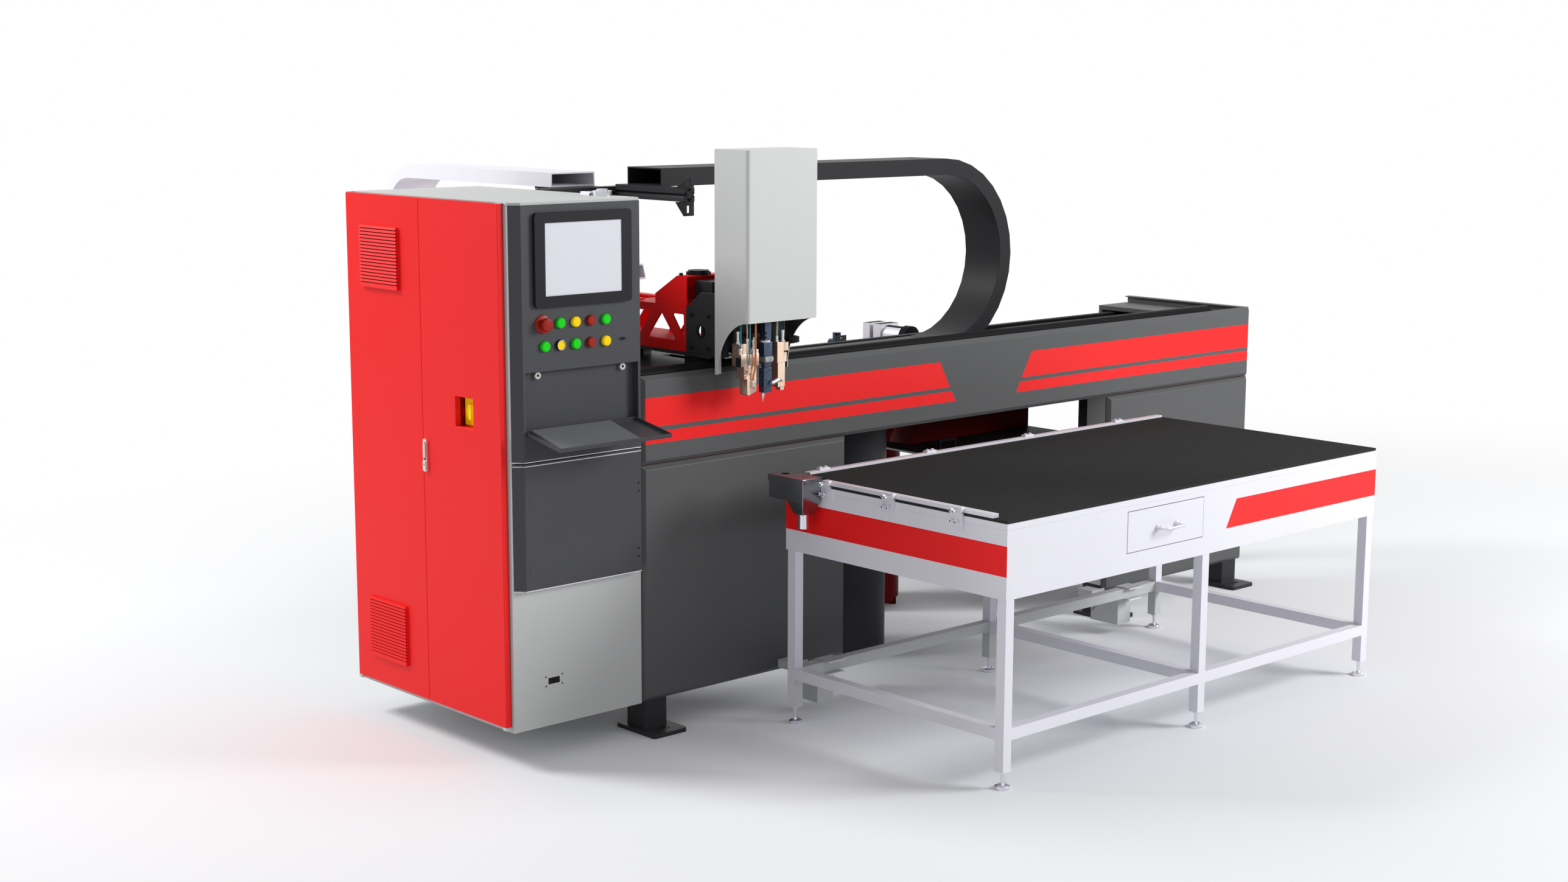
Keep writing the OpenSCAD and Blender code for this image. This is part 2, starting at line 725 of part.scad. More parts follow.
// Carriage on the X rails: saddle, four X blocks and the blocks that carry the arm
module x_block(x, y) {
    difference() {
        block([x, x + 90], [y - 28, y + 28], [ledge_z + 7, saddle_z0]);
        block([x - tiny, x + 90 + tiny], [y - rail_w / 2 - fit, y + rail_w / 2 + fit], [ledge_z, rail_top + fit]);
    }
}

module y_block(x, y) {
    half = y_rail_w / 2 + fit;
    difference() {
        block([x - 20, x + 20], [y, y + 90], [saddle_z1, y_rail_z + 16]);
        block([x - half, x + half], [y - tiny, y + 90 + tiny], [y_rail_z - fit, y_rail_z + 17]);
    }
}

module x_carriage() {
    color([0.25, 0.25, 0.27]) {
        difference() {
            block([carriage_x0, carriage_x1], [saddle_y0, saddle_y1], [saddle_z0, saddle_z1]);
            for (x = [carriage_x0 + 60, carriage_x1 - 110]) block([x, x + 50], [-150, 150],
                [saddle_z0 - tiny, saddle_z1 + tiny]);
        }
        for (x = [carriage_x0 + 4, carriage_x1 - 94], s = [-1, 1]) x_block(x, s * rail_y);
        for (x = y_rail_x, y = [-215, 205]) y_block(x, y);
    }
}

// Slotted bar with a T groove in each face
module profile() {
    b = bar / 2;
    difference() {
        square(bar, center = true);
        for (a = [0:90:270]) rotate(a) {
            translate([b - 5, -4]) square([6, 8]);
            translate([b - 12, -9]) square([7 + 0.01, 18]);
        }
    }
}

module chain_support() {
    x0 = carriage_x0 + 0.5;
    x1 = x0 + 376.5;
    z = 1880 - bar;
    post_x0 = x0;
    gusset_y = -120.5;
    color([0.15, 0.15, 0.16]) {
        along_z(saddle_z1 + seat, z) translate([post_x0 + bar / 2, 270.5 + bar / 2]) profile();
        along_x(x0, x1) translate([270.5 + bar / 2, z + bar / 2]) profile();
        along_y(-124.5, 270.5) translate([x1 - bar / 2, 1889 - bar / 2]) profile();
        block([y_chain_x0 + 4, y_chain_x0 + y_chain_w - 4], [270.5, 464.5], [1872, 1880]);
        block([x0 + bar, x0 + 2 * bar + 20], [270.5 + 16, 270.5 + 33], [z - 60, z]);
        along_y(gusset_y, gusset_y + 4) difference() {
            union() {
                polygon([[x1 - 84, 1889], [x1 + 0.5, 1889], [x1 + 0.5, 1932], [x1 - 22, 1932]]);
                polygon([[x1 - 84, 1841], [x1 - 46, 1789], [x1 + 0.5, 1789], [x1 + 0.5, 1841]]);
                polygon([[x1 - 22, 1789], [x1 + 0.5, 1789], [x1 + 0.5, 1932], [x1 - 22, 1932]]);
            }
            for (z1 = [1800, 1898]) translate([x1 - 32, z1]) square([12, 26]);
        }
    }
}

// The truss arm: two pierced side plates, a pierced top plate and a plate that carries the Y rails
function truss_hole(c, up) = let (w = truss_pitch * 0.623, z0 = arm_z0 + 35, z1 = z0 + truss_open_h)
    soften(up ? [[c - w, z0], [c + w, z0], [c, z1]] : [[c - w, z1], [c, z0], [c + w, z1]], 7);

module truss_side() {
    first = arm_y0 + 138;
    z0 = arm_z0 + 35;
    difference() {
        polygon([[arm_y0, arm_z0], [arm_y1, arm_z0], [arm_y1, arm_top], [arm_y0, arm_top]]);
        for (i = [0:4]) {
            polygon(truss_hole(first + 2 * i * truss_pitch, true));
            polygon(truss_hole(first + (2 * i + 1) * truss_pitch, false));
        }
        polygon(soften([[arm_y0 + 12, z0 + truss_open_h], [arm_y0 + 12, z0 + 10],
            [first - 57, z0 + truss_open_h]], 6));
        for (d = [132, 164, 195]) translate([arm_y0 + d, arm_z0 + 23]) circle(3, $fn = 24);
    }
}

module truss_arm() {
    x1 = arm_x0 + arm_w;
    color("red") {
        along_x(arm_x0, arm_x0 + arm_wall) truss_side();
        along_x(x1 - arm_wall, x1) truss_side();
        difference() {
            block([arm_x0, x1], [arm_y0, arm_y1], [arm_top - arm_wall, arm_top]);
            for (i = [0:5]) along_z(arm_top - arm_wall - tiny, arm_top + tiny)
                rounded([arm_x0 + 40, x1 - 40], [arm_y0 + 330 + i * 200, arm_y0 + 470 + i * 200], 12);
        }
        block([arm_x0 + arm_wall - tiny, x1 - arm_wall + tiny], [arm_y0, arm_y1],
            [inner_plate_z, inner_plate_z + 10]);
        block([y_rail_x[0] - 30, y_rail_x[1] + 30], [arm_y0 - 115, arm_y0 + tiny],
            [inner_plate_z, inner_plate_z + 10]);
        block([arm_x0, x1], [arm_y1 - arm_wall, arm_y1], [arm_z0 + 27, arm_top]);
    }
    color([0.35, 0.35, 0.37]) for (x = y_rail_x) block([x - y_rail_w / 2, x + y_rail_w / 2],
        [arm_y0 - 112, arm_y1 - 10], [y_rail_z, inner_plate_z]);
}

module arm_base() {
    x1 = arm_x0 + arm_w;
    front = arm_y0 - 139;
    rear = arm_y1;
    color([0.16, 0.16, 0.17]) difference() {
        union() {
            along_x(arm_x0, arm_x0 + 40) polygon([[front + 13, base_z0], [rear, base_z0], [rear, arm_z0 - seat],
                [front, arm_z0 - seat]]);
            along_x(x1 - 40, x1) polygon([[front + 13, base_z0], [rear, base_z0], [rear, arm_z0 - seat],
                [front, arm_z0 - seat]]);
        }
        for (x = [arm_x0 + 20, x1 - 20], i = [0:11]) translate([x, arm_y0 + 60 + i * 125, base_z0 - tiny])
            cylinder(6, 5.5, 5.5, $fn = 24);
    }
}

module end_bracket() {
    x1 = arm_x0 + arm_w;
    y0 = bracket_y0;
    y1 = arm_y0 - seat;
    color([0.14, 0.14, 0.15]) {
        for (x = [arm_x0, x1 - 15]) difference() {
            along_x(x, x + 15) difference() {
                polygon([[y1, arm_z0], [y1, arm_top - 5], [y1 - 79, arm_top + 56], [y0, arm_top + 60],
                    [y0, arm_z0]]);
                translate([y0 + 136, arm_z0 + 79]) circle(25, $fn = 64);
            }
            for (p = [[186, 137], [187, 20], [92, 137], [93, 21]]) translate([x - tiny, y0 + p[0], arm_z0 + p[1]])
                rotate([0, 90, 0]) cylinder(17, 5, 5, $fn = 24);
        }
        block([arm_x0 + 15, x1 - 15], [y0, y0 + 15], [arm_z0 + 42, arm_top + 60]);
        block([arm_x0 + 15, x1 - 15], [y1 - 79, y1 - 64], [arm_z0 + 42, arm_top + 40]);
        difference() {
            block([arm_x0 + 15, x1 - 15], [y0 + 14, y1 - 62], [arm_top + 20, arm_top + 28]);
            block([arm_x0 + 60, x1 - 60], [y0 + 35, y1 - 90], [arm_top + 19, arm_top + 29]);
        }
    }
    color([0.1, 0.1, 0.11]) block([arm_x0 + 40, arm_x0 + 165], [y1 - 98, y1 - 4], [arm_top + 28, arm_top + 92]);
}

module motor_hood() {
    x1 = arm_x0 + arm_w;
    y0 = arm_y0 - 5;
    z = arm_top + seat;
    t = 4;
    color("red") {
        for (x = [arm_x0, x1 - t]) along_x(x, x + t)
            polygon([[y0, z], [y0 + 177, z], [y0 + 177, z + 35], [y0 + 54, z + 107], [y0, z + 107]]);
        along_x(arm_x0, x1) polygon([[y0 + 177 - t, z], [y0 + 177, z], [y0 + 177, z + 35], [y0 + 54, z + 107],
            [y0, z + 107], [y0, z + 107 - t], [y0 + 53, z + 107 - t], [y0 + 177 - t, z + 33]]);
    }
    color([0.12, 0.12, 0.13]) {
        translate([arm_x0 + 90, y0 + 41, z + 107]) cylinder(10, 45, 45, $fn = 64);
        translate([arm_x0 + 90, y0 + 41, z + 117]) cylinder(6, 38, 38, $fn = 64);
        translate([arm_x0 + 12, y0 + 45, z + 107]) cylinder(9, 7, 7, $fn = 32);
    }
}

// Side of the head's cover: its front corner is cut away by a quarter ellipse
module cover_side(grow) {
    ry = 158;
    rz = hood_open_h;
    n = 14;
    polygon([[hood_y1 + grow, hood_z0 - grow], [hood_y1 + grow, hood_z1 + tiny], [hood_y0 - grow, hood_z1 + tiny],
        [hood_y0 - grow, hood_z0 + rz],
        for (i = [0:n]) [hood_y0 + ry * sin(90 * i / n), hood_z0 + rz * cos(90 * i / n)]]);
}

module head_cover() {
    s = sheet;
    color([0.72, 0.72, 0.71]) {
        intersection() {
            difference() {
                along_z(hood_z0, hood_z1) rounded([hood_x0, hood_x1], [hood_y0, hood_y1 + 15], 14);
                along_z(hood_z0 - tiny, hood_z1 - s) rounded([hood_x0 + s, hood_x1 - s],
                    [hood_y0 + s, hood_y1 + 15], 11);
                block([hood_x0 - tiny, hood_x1 + tiny], [hood_y1, hood_y1 + 20], [hood_z0 - tiny, hood_z1 + tiny]);
            }
            along_x(hood_x0, hood_x1) cover_side(0);
        }
        for (x = [hood_x0, hood_x1 - 44]) difference() {
            block([x, x + 44], [hood_y1 - s, hood_y1], [hood_z0 + 20, hood_z1]);
            block([arm_x0 - 3, arm_x0 + arm_w + 3], [hood_y1 - 5, hood_y1 + 2], [hood_z0, arm_top + 66]);
        }
    }
}

// Vertical slide on the arm's front: plate, rails and the bars that hold the cover
module z_slide() {
    x = head_rail_x;
    color([0.6, 0.61, 0.63]) {
        block([x - 50, x + 127], [slide_y - 15, slide_y], [arm_z0 + 12, hood_z1 - 46]);
        for (z = [arm_top + 85, hood_z1 - 96]) block([hood_x0 + sheet + seat, hood_x1 - sheet - seat],
            [slide_y - tiny, hood_y1 - sheet - seat], [z, z + 30]);
        for (dx = [-25, 90]) block([x + dx, x + dx + 15], [slide_y - 27, slide_y - 14], [arm_z0 + 20, hood_z1 - 50]);
        block([x + 15, x + 65], [slide_y - 60, slide_y - 14], [hood_z1 - 110, hood_z1 - 50]);
    }
}

module ring_at(x, y, z0, z1, r) {
    translate([x, y, z0]) cylinder(z1 - z0, r, r, $fn = 48);
}

module mixing_head() {
    x = head_x;
    y = head_y;
    h = head_w / 2;
    k = h - 4;
    plate_x = head_rail_x;
    back = slide_y - 45;
    color([0.6, 0.61, 0.63]) {
        block([plate_x - 104, plate_x + 133], [slide_y - 46, slide_y - 34], [1300, 1640]);
        for (dx = [-25, 90], z = [1320, 1560]) difference() {
            block([plate_x + dx - 12, plate_x + dx + 27], [slide_y - 35, slide_y - 17], [z, z + 60]);
            block([plate_x + dx - fit, plate_x + dx + 15 + fit], [slide_y - 27 - fit, slide_y],
                [z - tiny, z + 61]);
        }
    }
    color([0.2, 0.24, 0.3]) {
        difference() {
            union() {
                along_z(1190, 1277) translate([x, y]) rounded([-h, h], [-k, k], 4);
                ring_at(x, y, 1276, 1299, k - tiny);
                block([x - h + 3, x + h + 2], [y - k - 3, y + k], [1298, 1317]);
                block([x - h, x + h], [y - k, y + k + 1], [1316, 1367]);
                block([x - h + 2, x + h - 2], [y + k, back], [1322, 1360]);
            }
            translate([x, y, 1280]) cylinder(100, 6 + fit, 6 + fit, $fn = 32);
            for (z = [1206, 1236, 1262]) translate([x - 9, y - k - tiny, z]) rotate([-90, 0, 0])
                cylinder(6, 2.5, 2.5, $fn = 24);
            block([x - h - tiny, x - h + 4], [y - 7, y + 7], [1212, 1256]);
        }
        ring_at(x - 9, y + 3, 1178, 1191, 7);
        ring_at(x - 9, y + 3, 1169, 1179, 4);
        ring_at(x - 9, y + 3, 1157, 1170, 1.5);
    }
    color([0.93, 0.93, 0.93]) difference() {
        ring_at(x, y, 1367, 1374, k + 2);
        ring_at(x, y, 1366, 1375, 9);
    }
    color([0.12, 0.14, 0.18]) {
        difference() {
            block([x - k, x + k], [y - k, y + k + 1], [1374, 1452]);
            ring_at(x, y, 1373, 1402, 9);
        }
        block([x - 12, x + 12], [y + k, back], [1400, 1440]);
    }
}

// Shaft between the motor and the mixing chamber
module mixer_shaft() {
    color([0.8, 0.8, 0.82]) {
        ring_at(head_x, head_y, 1281, 1400, 6);
        difference() {
            ring_at(head_x, head_y, 1374.5, 1398, 8);
            block([head_x - 9, head_x - 7], [head_y - 9, head_y + 9], [1374, 1399]);
        }
    }
}

// Metering valves: stacked blocks with unions on top, bolted to the head's carrier plate
module union_stem(x, y, z0, z1, r) {
    translate([x, y, 0]) rotate_extrude($fn = 32) polygon([[0, z0 - tiny], [r * 1.5, z0 - tiny], [r * 1.5, z0 + 6],
        [r, z0 + 6], [r, z1 - 10], [r * 1.2, z1 - 10], [r * 1.2, z1], [0, z1]]);
}

module left_valve() {
    x = valve_x[0];
    y0 = valve_y;
    y1 = slide_y - 46 - seat;
    color([0.72, 0.55, 0.48]) {
        block([x - 71, x + 12], [y0, y1], [1290, 1332]);
        block([x - 57, x], [y0 + tiny, y0 + 38], [1246, 1291]);
        along_y(y0, y0 + 40) polygon([[x - 43, 1247], [x - 43, 1192], [x - 37, 1187], [x, 1200], [x, 1247]]);
        block([x - 71, x - 34], [y0 + 12, y1 - tiny], [1331, 1368]);
        block([x - 12, x + 12], [y0 + 3, y0 + 27], [1331, 1346]);
    }
    color([0.85, 0.85, 0.84]) {
        union_stem(x - 60, y0 + 30, 1368, 1411, 5);
        union_stem(x - 22, y0 + 24, 1332, 1384, 5);
        union_stem(x, y0 + 15, 1346, 1379, 6);
    }
}

module right_valve() {
    x = valve_x[1];
    y0 = valve_y;
    y1 = slide_y - 46 - seat;
    color([0.72, 0.55, 0.48]) {
        block([x, x + 30], [y0, y1], [1290, 1363]);
        block([x + 29, x + 54], [y0 + 2, y1 - 8], [1331, 1361]);
        block([x + 29, x + 46], [y0 + 2, y1 - 8], [1292, 1326]);
        block([x + 5, x + 38], [y0 + 3, y0 + 38], [1204, 1291]);
        block([x + 18, x + 36], [y0 + 5, y0 + 30], [1192, 1205]);
    }
    color([0.85, 0.85, 0.84]) {
        union_stem(x + 14, y0 + 20, 1363, 1384, 5);
        union_stem(x + 42, y0 + 20, 1361, 1403, 6);
        translate([x + 24, y0 + 6, 1226]) rotate([0, -68, 0]) rotate([30, 0, 0]) cylinder(30, 6, 6, $fn = 32);
    }
    color([0.12, 0.12, 0.13]) {
        block([x + 50, x + 90], [y0 + 12, y0 + 32], [1352, 1360]);
        ring_at(x + 92, y0 + 22, 1356, 1376, 24);
    }
}

// Half ring of a cable chain: n facets from the lower run round to the upper run
function arc_points(r, n) = [for (i = [0:n]) r * [cos(-90 + 180 * i / n), sin(-90 + 180 * i / n)]];
function ring_points(r0, r1, ends) = concat([[-ends, -r0]], arc_points(r0, chain_links), [[-ends, r0],
    [-ends, r1]], [for (i = [chain_links:-1:0]) arc_points(r1, chain_links)[i]], [[-ends, -r1]]);

module chain_ring(r, h) {
    polygon(ring_points(r - h / 2, r + h / 2, 0.5));
}

module x_chain_tube(x0, x1, z, inset) {
    y0 = x_chain_y0 + inset;
    y1 = x_chain_y0 + x_chain_w - inset;
    h = x_chain_h / 2 - inset;
    difference() {
        block([x0, x1], [y0, y1], [z - h, z + h]);
        block([x0 - tiny, x1 + tiny], [y0 + chain_wall, y1 - chain_wall], [z - h + chain_wall, z + h - chain_wall]);
    }
}

module x_chain_guide() {
    color([0.12, 0.12, 0.13]) x_chain_tube(x_loop_x - x_guide_l, x_loop_x - 5, x_loop_z - x_chain_r, 0);
    color("silver") block([x_loop_x - x_guide_l, x_loop_x - 5], [x_chain_y0 - 20, x_chain_y0 + x_chain_w + 20],
        [box_top + seat, x_loop_z - x_chain_r - x_chain_h / 2 - seat]);
}

module x_chain_top() {
    color([0.12, 0.12, 0.13]) x_chain_tube(x_chain_x0, x_loop_x - 0.8, x_chain_z, 0);
}

module x_chain_loop() {
    color([0.12, 0.12, 0.13]) {
        difference() {
            along_y(x_chain_y0, x_chain_y0 + x_chain_w) translate([x_loop_x, x_loop_z])
                chain_ring(x_chain_r, x_chain_h);
            along_y(x_chain_y0 + chain_wall, x_chain_y0 + x_chain_w - chain_wall) translate([x_loop_x, x_loop_z])
                polygon(ring_points(x_chain_r - x_chain_h / 2 + chain_wall, x_chain_r + x_chain_h / 2 - chain_wall,
                    2));
        }
        x_chain_tube(x_loop_x - x_guide_l + 85, x_loop_x + 8, x_loop_z - x_chain_r, chain_wall + fit);
    }
}

module y_chain_tube(y0, y1, z, inset) {
    x0 = y_chain_x0 + inset;
    x1 = y_chain_x0 + y_chain_w - inset;
    h = y_chain_h / 2 - inset;
    difference() {
        block([x0, x1], [y0, y1], [z - h, z + h]);
        block([x0 + chain_wall, x1 - chain_wall], [y0 - tiny, y1 + tiny], [z - h + chain_wall, z + h - chain_wall]);
    }
}

module y_chain_guide() {
    z = y_loop_z - y_chain_r;
    y0 = y_loop_y - y_guide_l;
    under = z - y_chain_h / 2 - seat;
    color([0.8, 0.8, 0.8]) difference() {
        y_chain_tube(y0, y_loop_y - 11, z, 0);
        along_x(y_chain_x0 - tiny, y_chain_x0 + y_chain_w + tiny)
            polygon([[y0 - tiny, z - 40], [y0 - tiny, z + 40], [y0 + 25, z + 40]]);
    }
    color("red") {
        for (y = [arm_y0 + 293, arm_y0 + 1000]) {
            block([y_chain_x0, arm_x0 + 50], [y, y + 60], [under - 6, under]);
            block([arm_x0 + 4, arm_x0 + 10], [y, y + 60], [arm_top + seat, under]);
            block([arm_x0 + 4, arm_x0 + 50], [y, y + 60], [arm_top + seat, arm_top + 6]);
        }
    }
}

module y_chain_top() {
    color([0.8, 0.8, 0.8]) y_chain_tube(y_chain_y0, y_loop_y - 0.8, y_chain_z, 0);
}

module y_chain_loop() {
    color([0.8, 0.8, 0.8]) {
        difference() {
            along_x(y_chain_x0, y_chain_x0 + y_chain_w) translate([y_loop_y, y_loop_z])
                chain_ring(y_chain_r, y_chain_h);
            along_x(y_chain_x0 + chain_wall, y_chain_x0 + y_chain_w - chain_wall) translate([y_loop_y, y_loop_z])
                polygon(ring_points(y_chain_r - y_chain_h / 2 + chain_wall, y_chain_r + y_chain_h / 2 - chain_wall,
                    2));
        }
        y_chain_tube(y_loop_y - y_guide_l + 456, y_loop_y + 8, y_loop_z - y_chain_r, chain_wall + fit);
    }
}

// Loading table, drawn from its own front left corner
module at_table() {
    translate([table_x, table_y, 0]) children();
}

leg_x = [4, (table_l - leg) / 2, table_l - 4 - leg];
leg_y = [2.4, table_d - 6 - leg];
drawer_x = 607;
drawer_z = table_h - 182;
dock_x = [146, table_l - 247];

module table_frame() {
    rail = 40;
    z1 = table_h - 20 - seat;
    at_table() {
        color([0.86, 0.86, 0.88]) {
            difference() {
                block([0, table_l], [0, table_d], [apron_z, z1]);
                block([20, table_l - 20], [20, table_d - 20], [apron_z - tiny, z1 + tiny]);
                block([drawer_x - 3, drawer_x + drawer_w + 3], [-tiny, 21], [drawer_z - 3, drawer_z + drawer_h + 3]);
            }
            for (x = [drawer_x + 4, drawer_x + drawer_w - 34]) {
                block([x, x + 30], [19, 60 + drawer_d], [drawer_z - 10, drawer_z + 5 - fit]);
                block([x, x + 30], [30 + drawer_d, 60 + drawer_d], [drawer_z - 10, z1]);
            }
            for (x = leg_x, y = leg_y) difference() {
                block([x, x + leg], [y, y + leg], [leg_bottom, apron_z + tiny]);
                block([x + 3, x + leg - 3], [y + 3, y + leg - 3], [leg_bottom + 8, apron_z + 2]);
                translate([x + leg / 2, y + leg / 2, leg_bottom - tiny]) cylinder(12, 6 + fit, 6 + fit, $fn = 32);
            }
            for (y = leg_y, i = [0, 1]) block([leg_x[i] + leg - 0.5, leg_x[i + 1] + 0.5], [y, y + leg],
                [rail_low, rail_low + rail]);
            for (x = leg_x) block([x, x + leg], [leg_y[0] + leg - 0.5, leg_y[1] + 0.5], [rail_low, rail_low + rail]);
        }
        color([0.5, 0.51, 0.52]) for (x = dock_x) docking_bracket(x);
    }
    color([0.5, 0.5, 0.52]) for (x = dock_x) block([table_x + x + 10, table_x + x + 70],
        [table_y + table_d + 132 + seat, face_y - seat], [130, 160]);
}

// Folded bracket that ties the table to the machine
module docking_bracket(x) {
    w = 81;
    y0 = leg_y[1] - 25;
    difference() {
        union() {
            block([x, x + w], [y0, table_d + 3], [rail_low + 40 + seat, rail_low + 45]);
            block([x, x + w], [y0, table_d + 3], [rail_low - 6, rail_low - seat]);
            block([x, x + w], [table_d - 1.4, table_d + 3], [rail_low - 6, rail_low + 45]);
            for (dx = [0, w - 4]) along_x(x + dx, x + dx + 4) polygon([[table_d - 11, 44], [table_d + 132, 44],
                [table_d + 132, 70], [table_d + 45, rail_low - 3], [table_d, rail_low], [table_d - 11, rail_low - 6]]);
            block([x, x + w], [table_d - 11, table_d - 7], [44, rail_low - 5]);
            block([x, x + w], [table_d + 128, table_d + 132], [44, 164]);
            block([x, x + w], [table_d - 11, table_d + 132], [44, 48]);
        }
        for (dx = [22, w - 22]) translate([x + dx, y0 + 14, rail_low + 39]) cylinder(10, 4, 4, $fn = 24);
        translate([x + w / 2, table_d + 60, 40]) cylinder(10, 9, 9, $fn = 32);
    }
}

module table_top() {
    color([0.86, 0.86, 0.88]) at_table() block([0, table_l], [0, table_d], [table_h - 20, table_h]);
}

// The felt is pressed down a little under the guide bars
module felt_pad() {
    color([0.3, 0.3, 0.32]) at_table() difference() {
        block([2, table_l - 2], [2, table_d - 2], [table_h, felt_top]);
        block([1, 30.5], [table_d - 975.5, table_d - 179.5], [felt_top - press, felt_top + tiny]);
        block([94.5, table_l - 7.5], [table_d - 22.5, table_d], [felt_top - press, felt_top + tiny]);
    }
}

module drawer() {
    x0 = drawer_x;
    x1 = drawer_x + drawer_w;
    z = drawer_z;
    at_table() {
        color([0.86, 0.86, 0.88]) {
            block([x0, x1], [-1, 15], [z, z + drawer_h]);
            difference() {
                block([x0 + 6, x1 - 6], [14, drawer_d], [z + 5, z + drawer_h - 20]);
                block([x0 + 10, x1 - 10], [18, drawer_d - 4], [z + 9, z + drawer_h]);
            }
        }
        color("silver") {
            for (x = [x0 + 161, x0 + 264]) translate([x, -tiny, z + 67]) rotate([90, 0, 0]) {
                cylinder(5, 11, 11, $fn = 32);
                cylinder(39, 6, 6, $fn = 32);
            }
            translate([x0 + 152, -36, z + 67]) rotate([0, 90, 0]) cylinder(121, 6, 6, $fn = 32);
        }
    }
}

side_clamps = [table_d - 851, table_d - 539, table_d - 229];
back_clamps = [150, 700, 1250, 1800];

module guide_bars() {
    color([0.86, 0.87, 0.88]) at_table() {
        block([2, 30], [table_d - 975, table_d - 180], [felt_top - press + seat, felt_top + 13]);
        block([95, table_l - 8], [table_d - 22, table_d + 5], [felt_top - press + seat, felt_top + 8]);
    }
}

module guide_clamps() {
    color([0.7, 0.71, 0.72]) at_table() {
        for (y = side_clamps) difference() {
            union() {
                block([-8, -seat], [y, y + 56], [table_h - 36, felt_top + 19]);
                block([-8, 26], [y, y + 56], [felt_top + 13 + seat, felt_top + 19]);
            }
            for (dy = [12, 44], z = [table_h - 26, table_h - 8]) translate([-9, y + dy, z]) rotate([0, 90, 0])
                cylinder(4, 5, 5, $fn = 24);
        }
        for (x = back_clamps) {
            block([x, x + 50], [table_d + seat, table_d + 8], [table_h - 30, felt_top - 2]);
            block([x, x + 50], [table_d + 5 + seat, table_d + 8], [table_h - 30, felt_top + 14]);
            block([x, x + 50], [table_d - 14, table_d + 8], [felt_top + 8 + seat, felt_top + 14]);
        }
    }
}

module levelling_feet() {
    color([0.2, 0.2, 0.21]) at_table() for (x = leg_x, y = leg_y) translate([x + leg / 2, y + leg / 2, 0]) {
        cylinder(9, level_d / 2, level_d / 2, $fn = 48);
        translate([0, 0, 9]) cylinder(7, level_d / 2, 13, $fn = 48);
        translate([0, 0, 16]) cylinder(80, 6, 6, $fn = 32);
        translate([0, 0, leg_bottom - 9]) cylinder(8.5, 10, 10, $fn = 6);
    }
}

// Box at the table's corner that catches the purged material
module purge_box() {
    y0 = table_d - 190;
    y1 = table_d - 11;
    back = -8 - 3 * seat;
    xm = -53.5;
    ym = y0 + 42;
    z = table_h - 46;
    color([0.72, 0.73, 0.75]) at_table() difference() {
        union() {
            block([-98, back], [y0, y1], [z + 58, z + 83]);
            block([-95, back], [y0 + 3, y1 - 3], [z, z + 59]);
            intersection() {
                along_y(y0 + 3, ym + 42) polygon([[-95, z + 1], [-95, z], [-80, z - 46], [-26, z - 46], [back, z],
                    [back, z + 1]]);
                along_x(-96, back) polygon([[y0 + 3, z + 1], [y0 + 3, z], [ym - 22, z - 46], [ym + 22, z - 46],
                    [ym + 42, z], [ym + 42, z + 1]]);
            }
            ring_at(xm, ym, z - 97, z - 45, 20);
            block([back - tiny, -seat], [side_clamps[2] + 58, y1], [z + 4, z + 44]);
        }
        block([-92, back - 3], [y0 + 6, y1 - 6], [z + 3, z + 77]);
        intersection() {
            along_y(y0 + 6, ym + 39) polygon([[-92, z + 4], [-92, z], [-77, z - 46], [-29, z - 46],
                [back - 3, z], [back - 3, z + 4]]);
            along_x(-93, back - 3) polygon([[y0 + 6, z + 4], [y0 + 6, z], [ym - 18, z - 43], [ym + 18, z - 43],
                [ym + 39, z], [ym + 39, z + 4]]);
        }
        ring_at(xm, ym, z - 98, z - 40, 17);
        ring_at(-53.5, y1 - 43.3, z + 74, z + 85, 15);
        ring_at(-54.6, ym - 2, z + 74, z + 85, 5);
    }
}

// Material tanks and the gear motor that feeds the head
module supply_tanks() {
    x = tank_x;
    y = tank_y;
    r = tank_d / 2;
    color("red") {
        ring_at(x, y, 40, tank_top - 18, r);
        ring_at(x, y, tank_top - 18, tank_top, r + 4);
        ring_at(x, y, 20, 41, r - 20);
        block([x - 60, x + 60], [bed_y1 + seat, y - r + 20], [tank_top - 140, tank_top - 100]);
        for (a = [45:90:315]) translate([x, y, 0]) rotate(a) block([r - 40, r - 10], [-20, 20], [0, 60]);
    }
    color([0.78, 0.79, 0.8]) {
        block([motor_x - 90, motor_x + 60], [y - 10, y + 98], [tank_top, tank_top + 8]);
        block([motor_x - 50, motor_x + 50], [y + 56, y + 98], [tank_top + 7, tank_top + 110]);
        block([motor_x - 50, motor_x + 60], [y - 10, y + 35], [tank_top + 7, tank_top + 110]);
        translate([motor_x, y + 36, tank_top + 62]) rotate([-90, 0, 0]) cylinder(21, 30, 30, $fn = 48);
        translate([motor_x, y - 115, tank_top + 62]) rotate([-90, 0, 0]) cylinder(106, 42, 42, $fn = 48);
        translate([motor_x, y - 151, tank_top + 62]) rotate([-90, 0, 0]) cylinder(36, 48, 48, $fn = 48);
    }
    color([0.1, 0.1, 0.11]) {
        ring_at(black_tank_x, 64.5, 20, 930, 170);
        ring_at(black_tank_x, 64.5, 929, cover_bottom - seat, 60);
        for (a = [45:90:315]) translate([black_tank_x, 64.5, 0]) rotate(a) block([120, 160], [-20, 20], [0, 40]);
    }
}

module air_regulator() {
    x = -139.5;
    y = bed_y1 + seat;
    color([0.15, 0.15, 0.16]) difference() {
        block([x - 30, x + 30], [y, y + 4], [1150, 1225]);
        for (z = [1160, 1214]) translate([x, y - tiny, z]) rotate([-90, 0, 0]) cylinder(6, 4, 4, $fn = 24);
    }
    color([0.86, 0.87, 0.88]) {
        block([x - 24, x + 24], [y + 4, y + 50], [1172, 1206]);
        ring_at(x, y + 27, 1206, 1236, 17);
        ring_at(x, y + 27, 1120, 1173, 20);
        translate([x, y + 50, 1190]) rotate([-90, 0, 0]) cylinder(14, 18, 18, $fn = 48);
    }
}

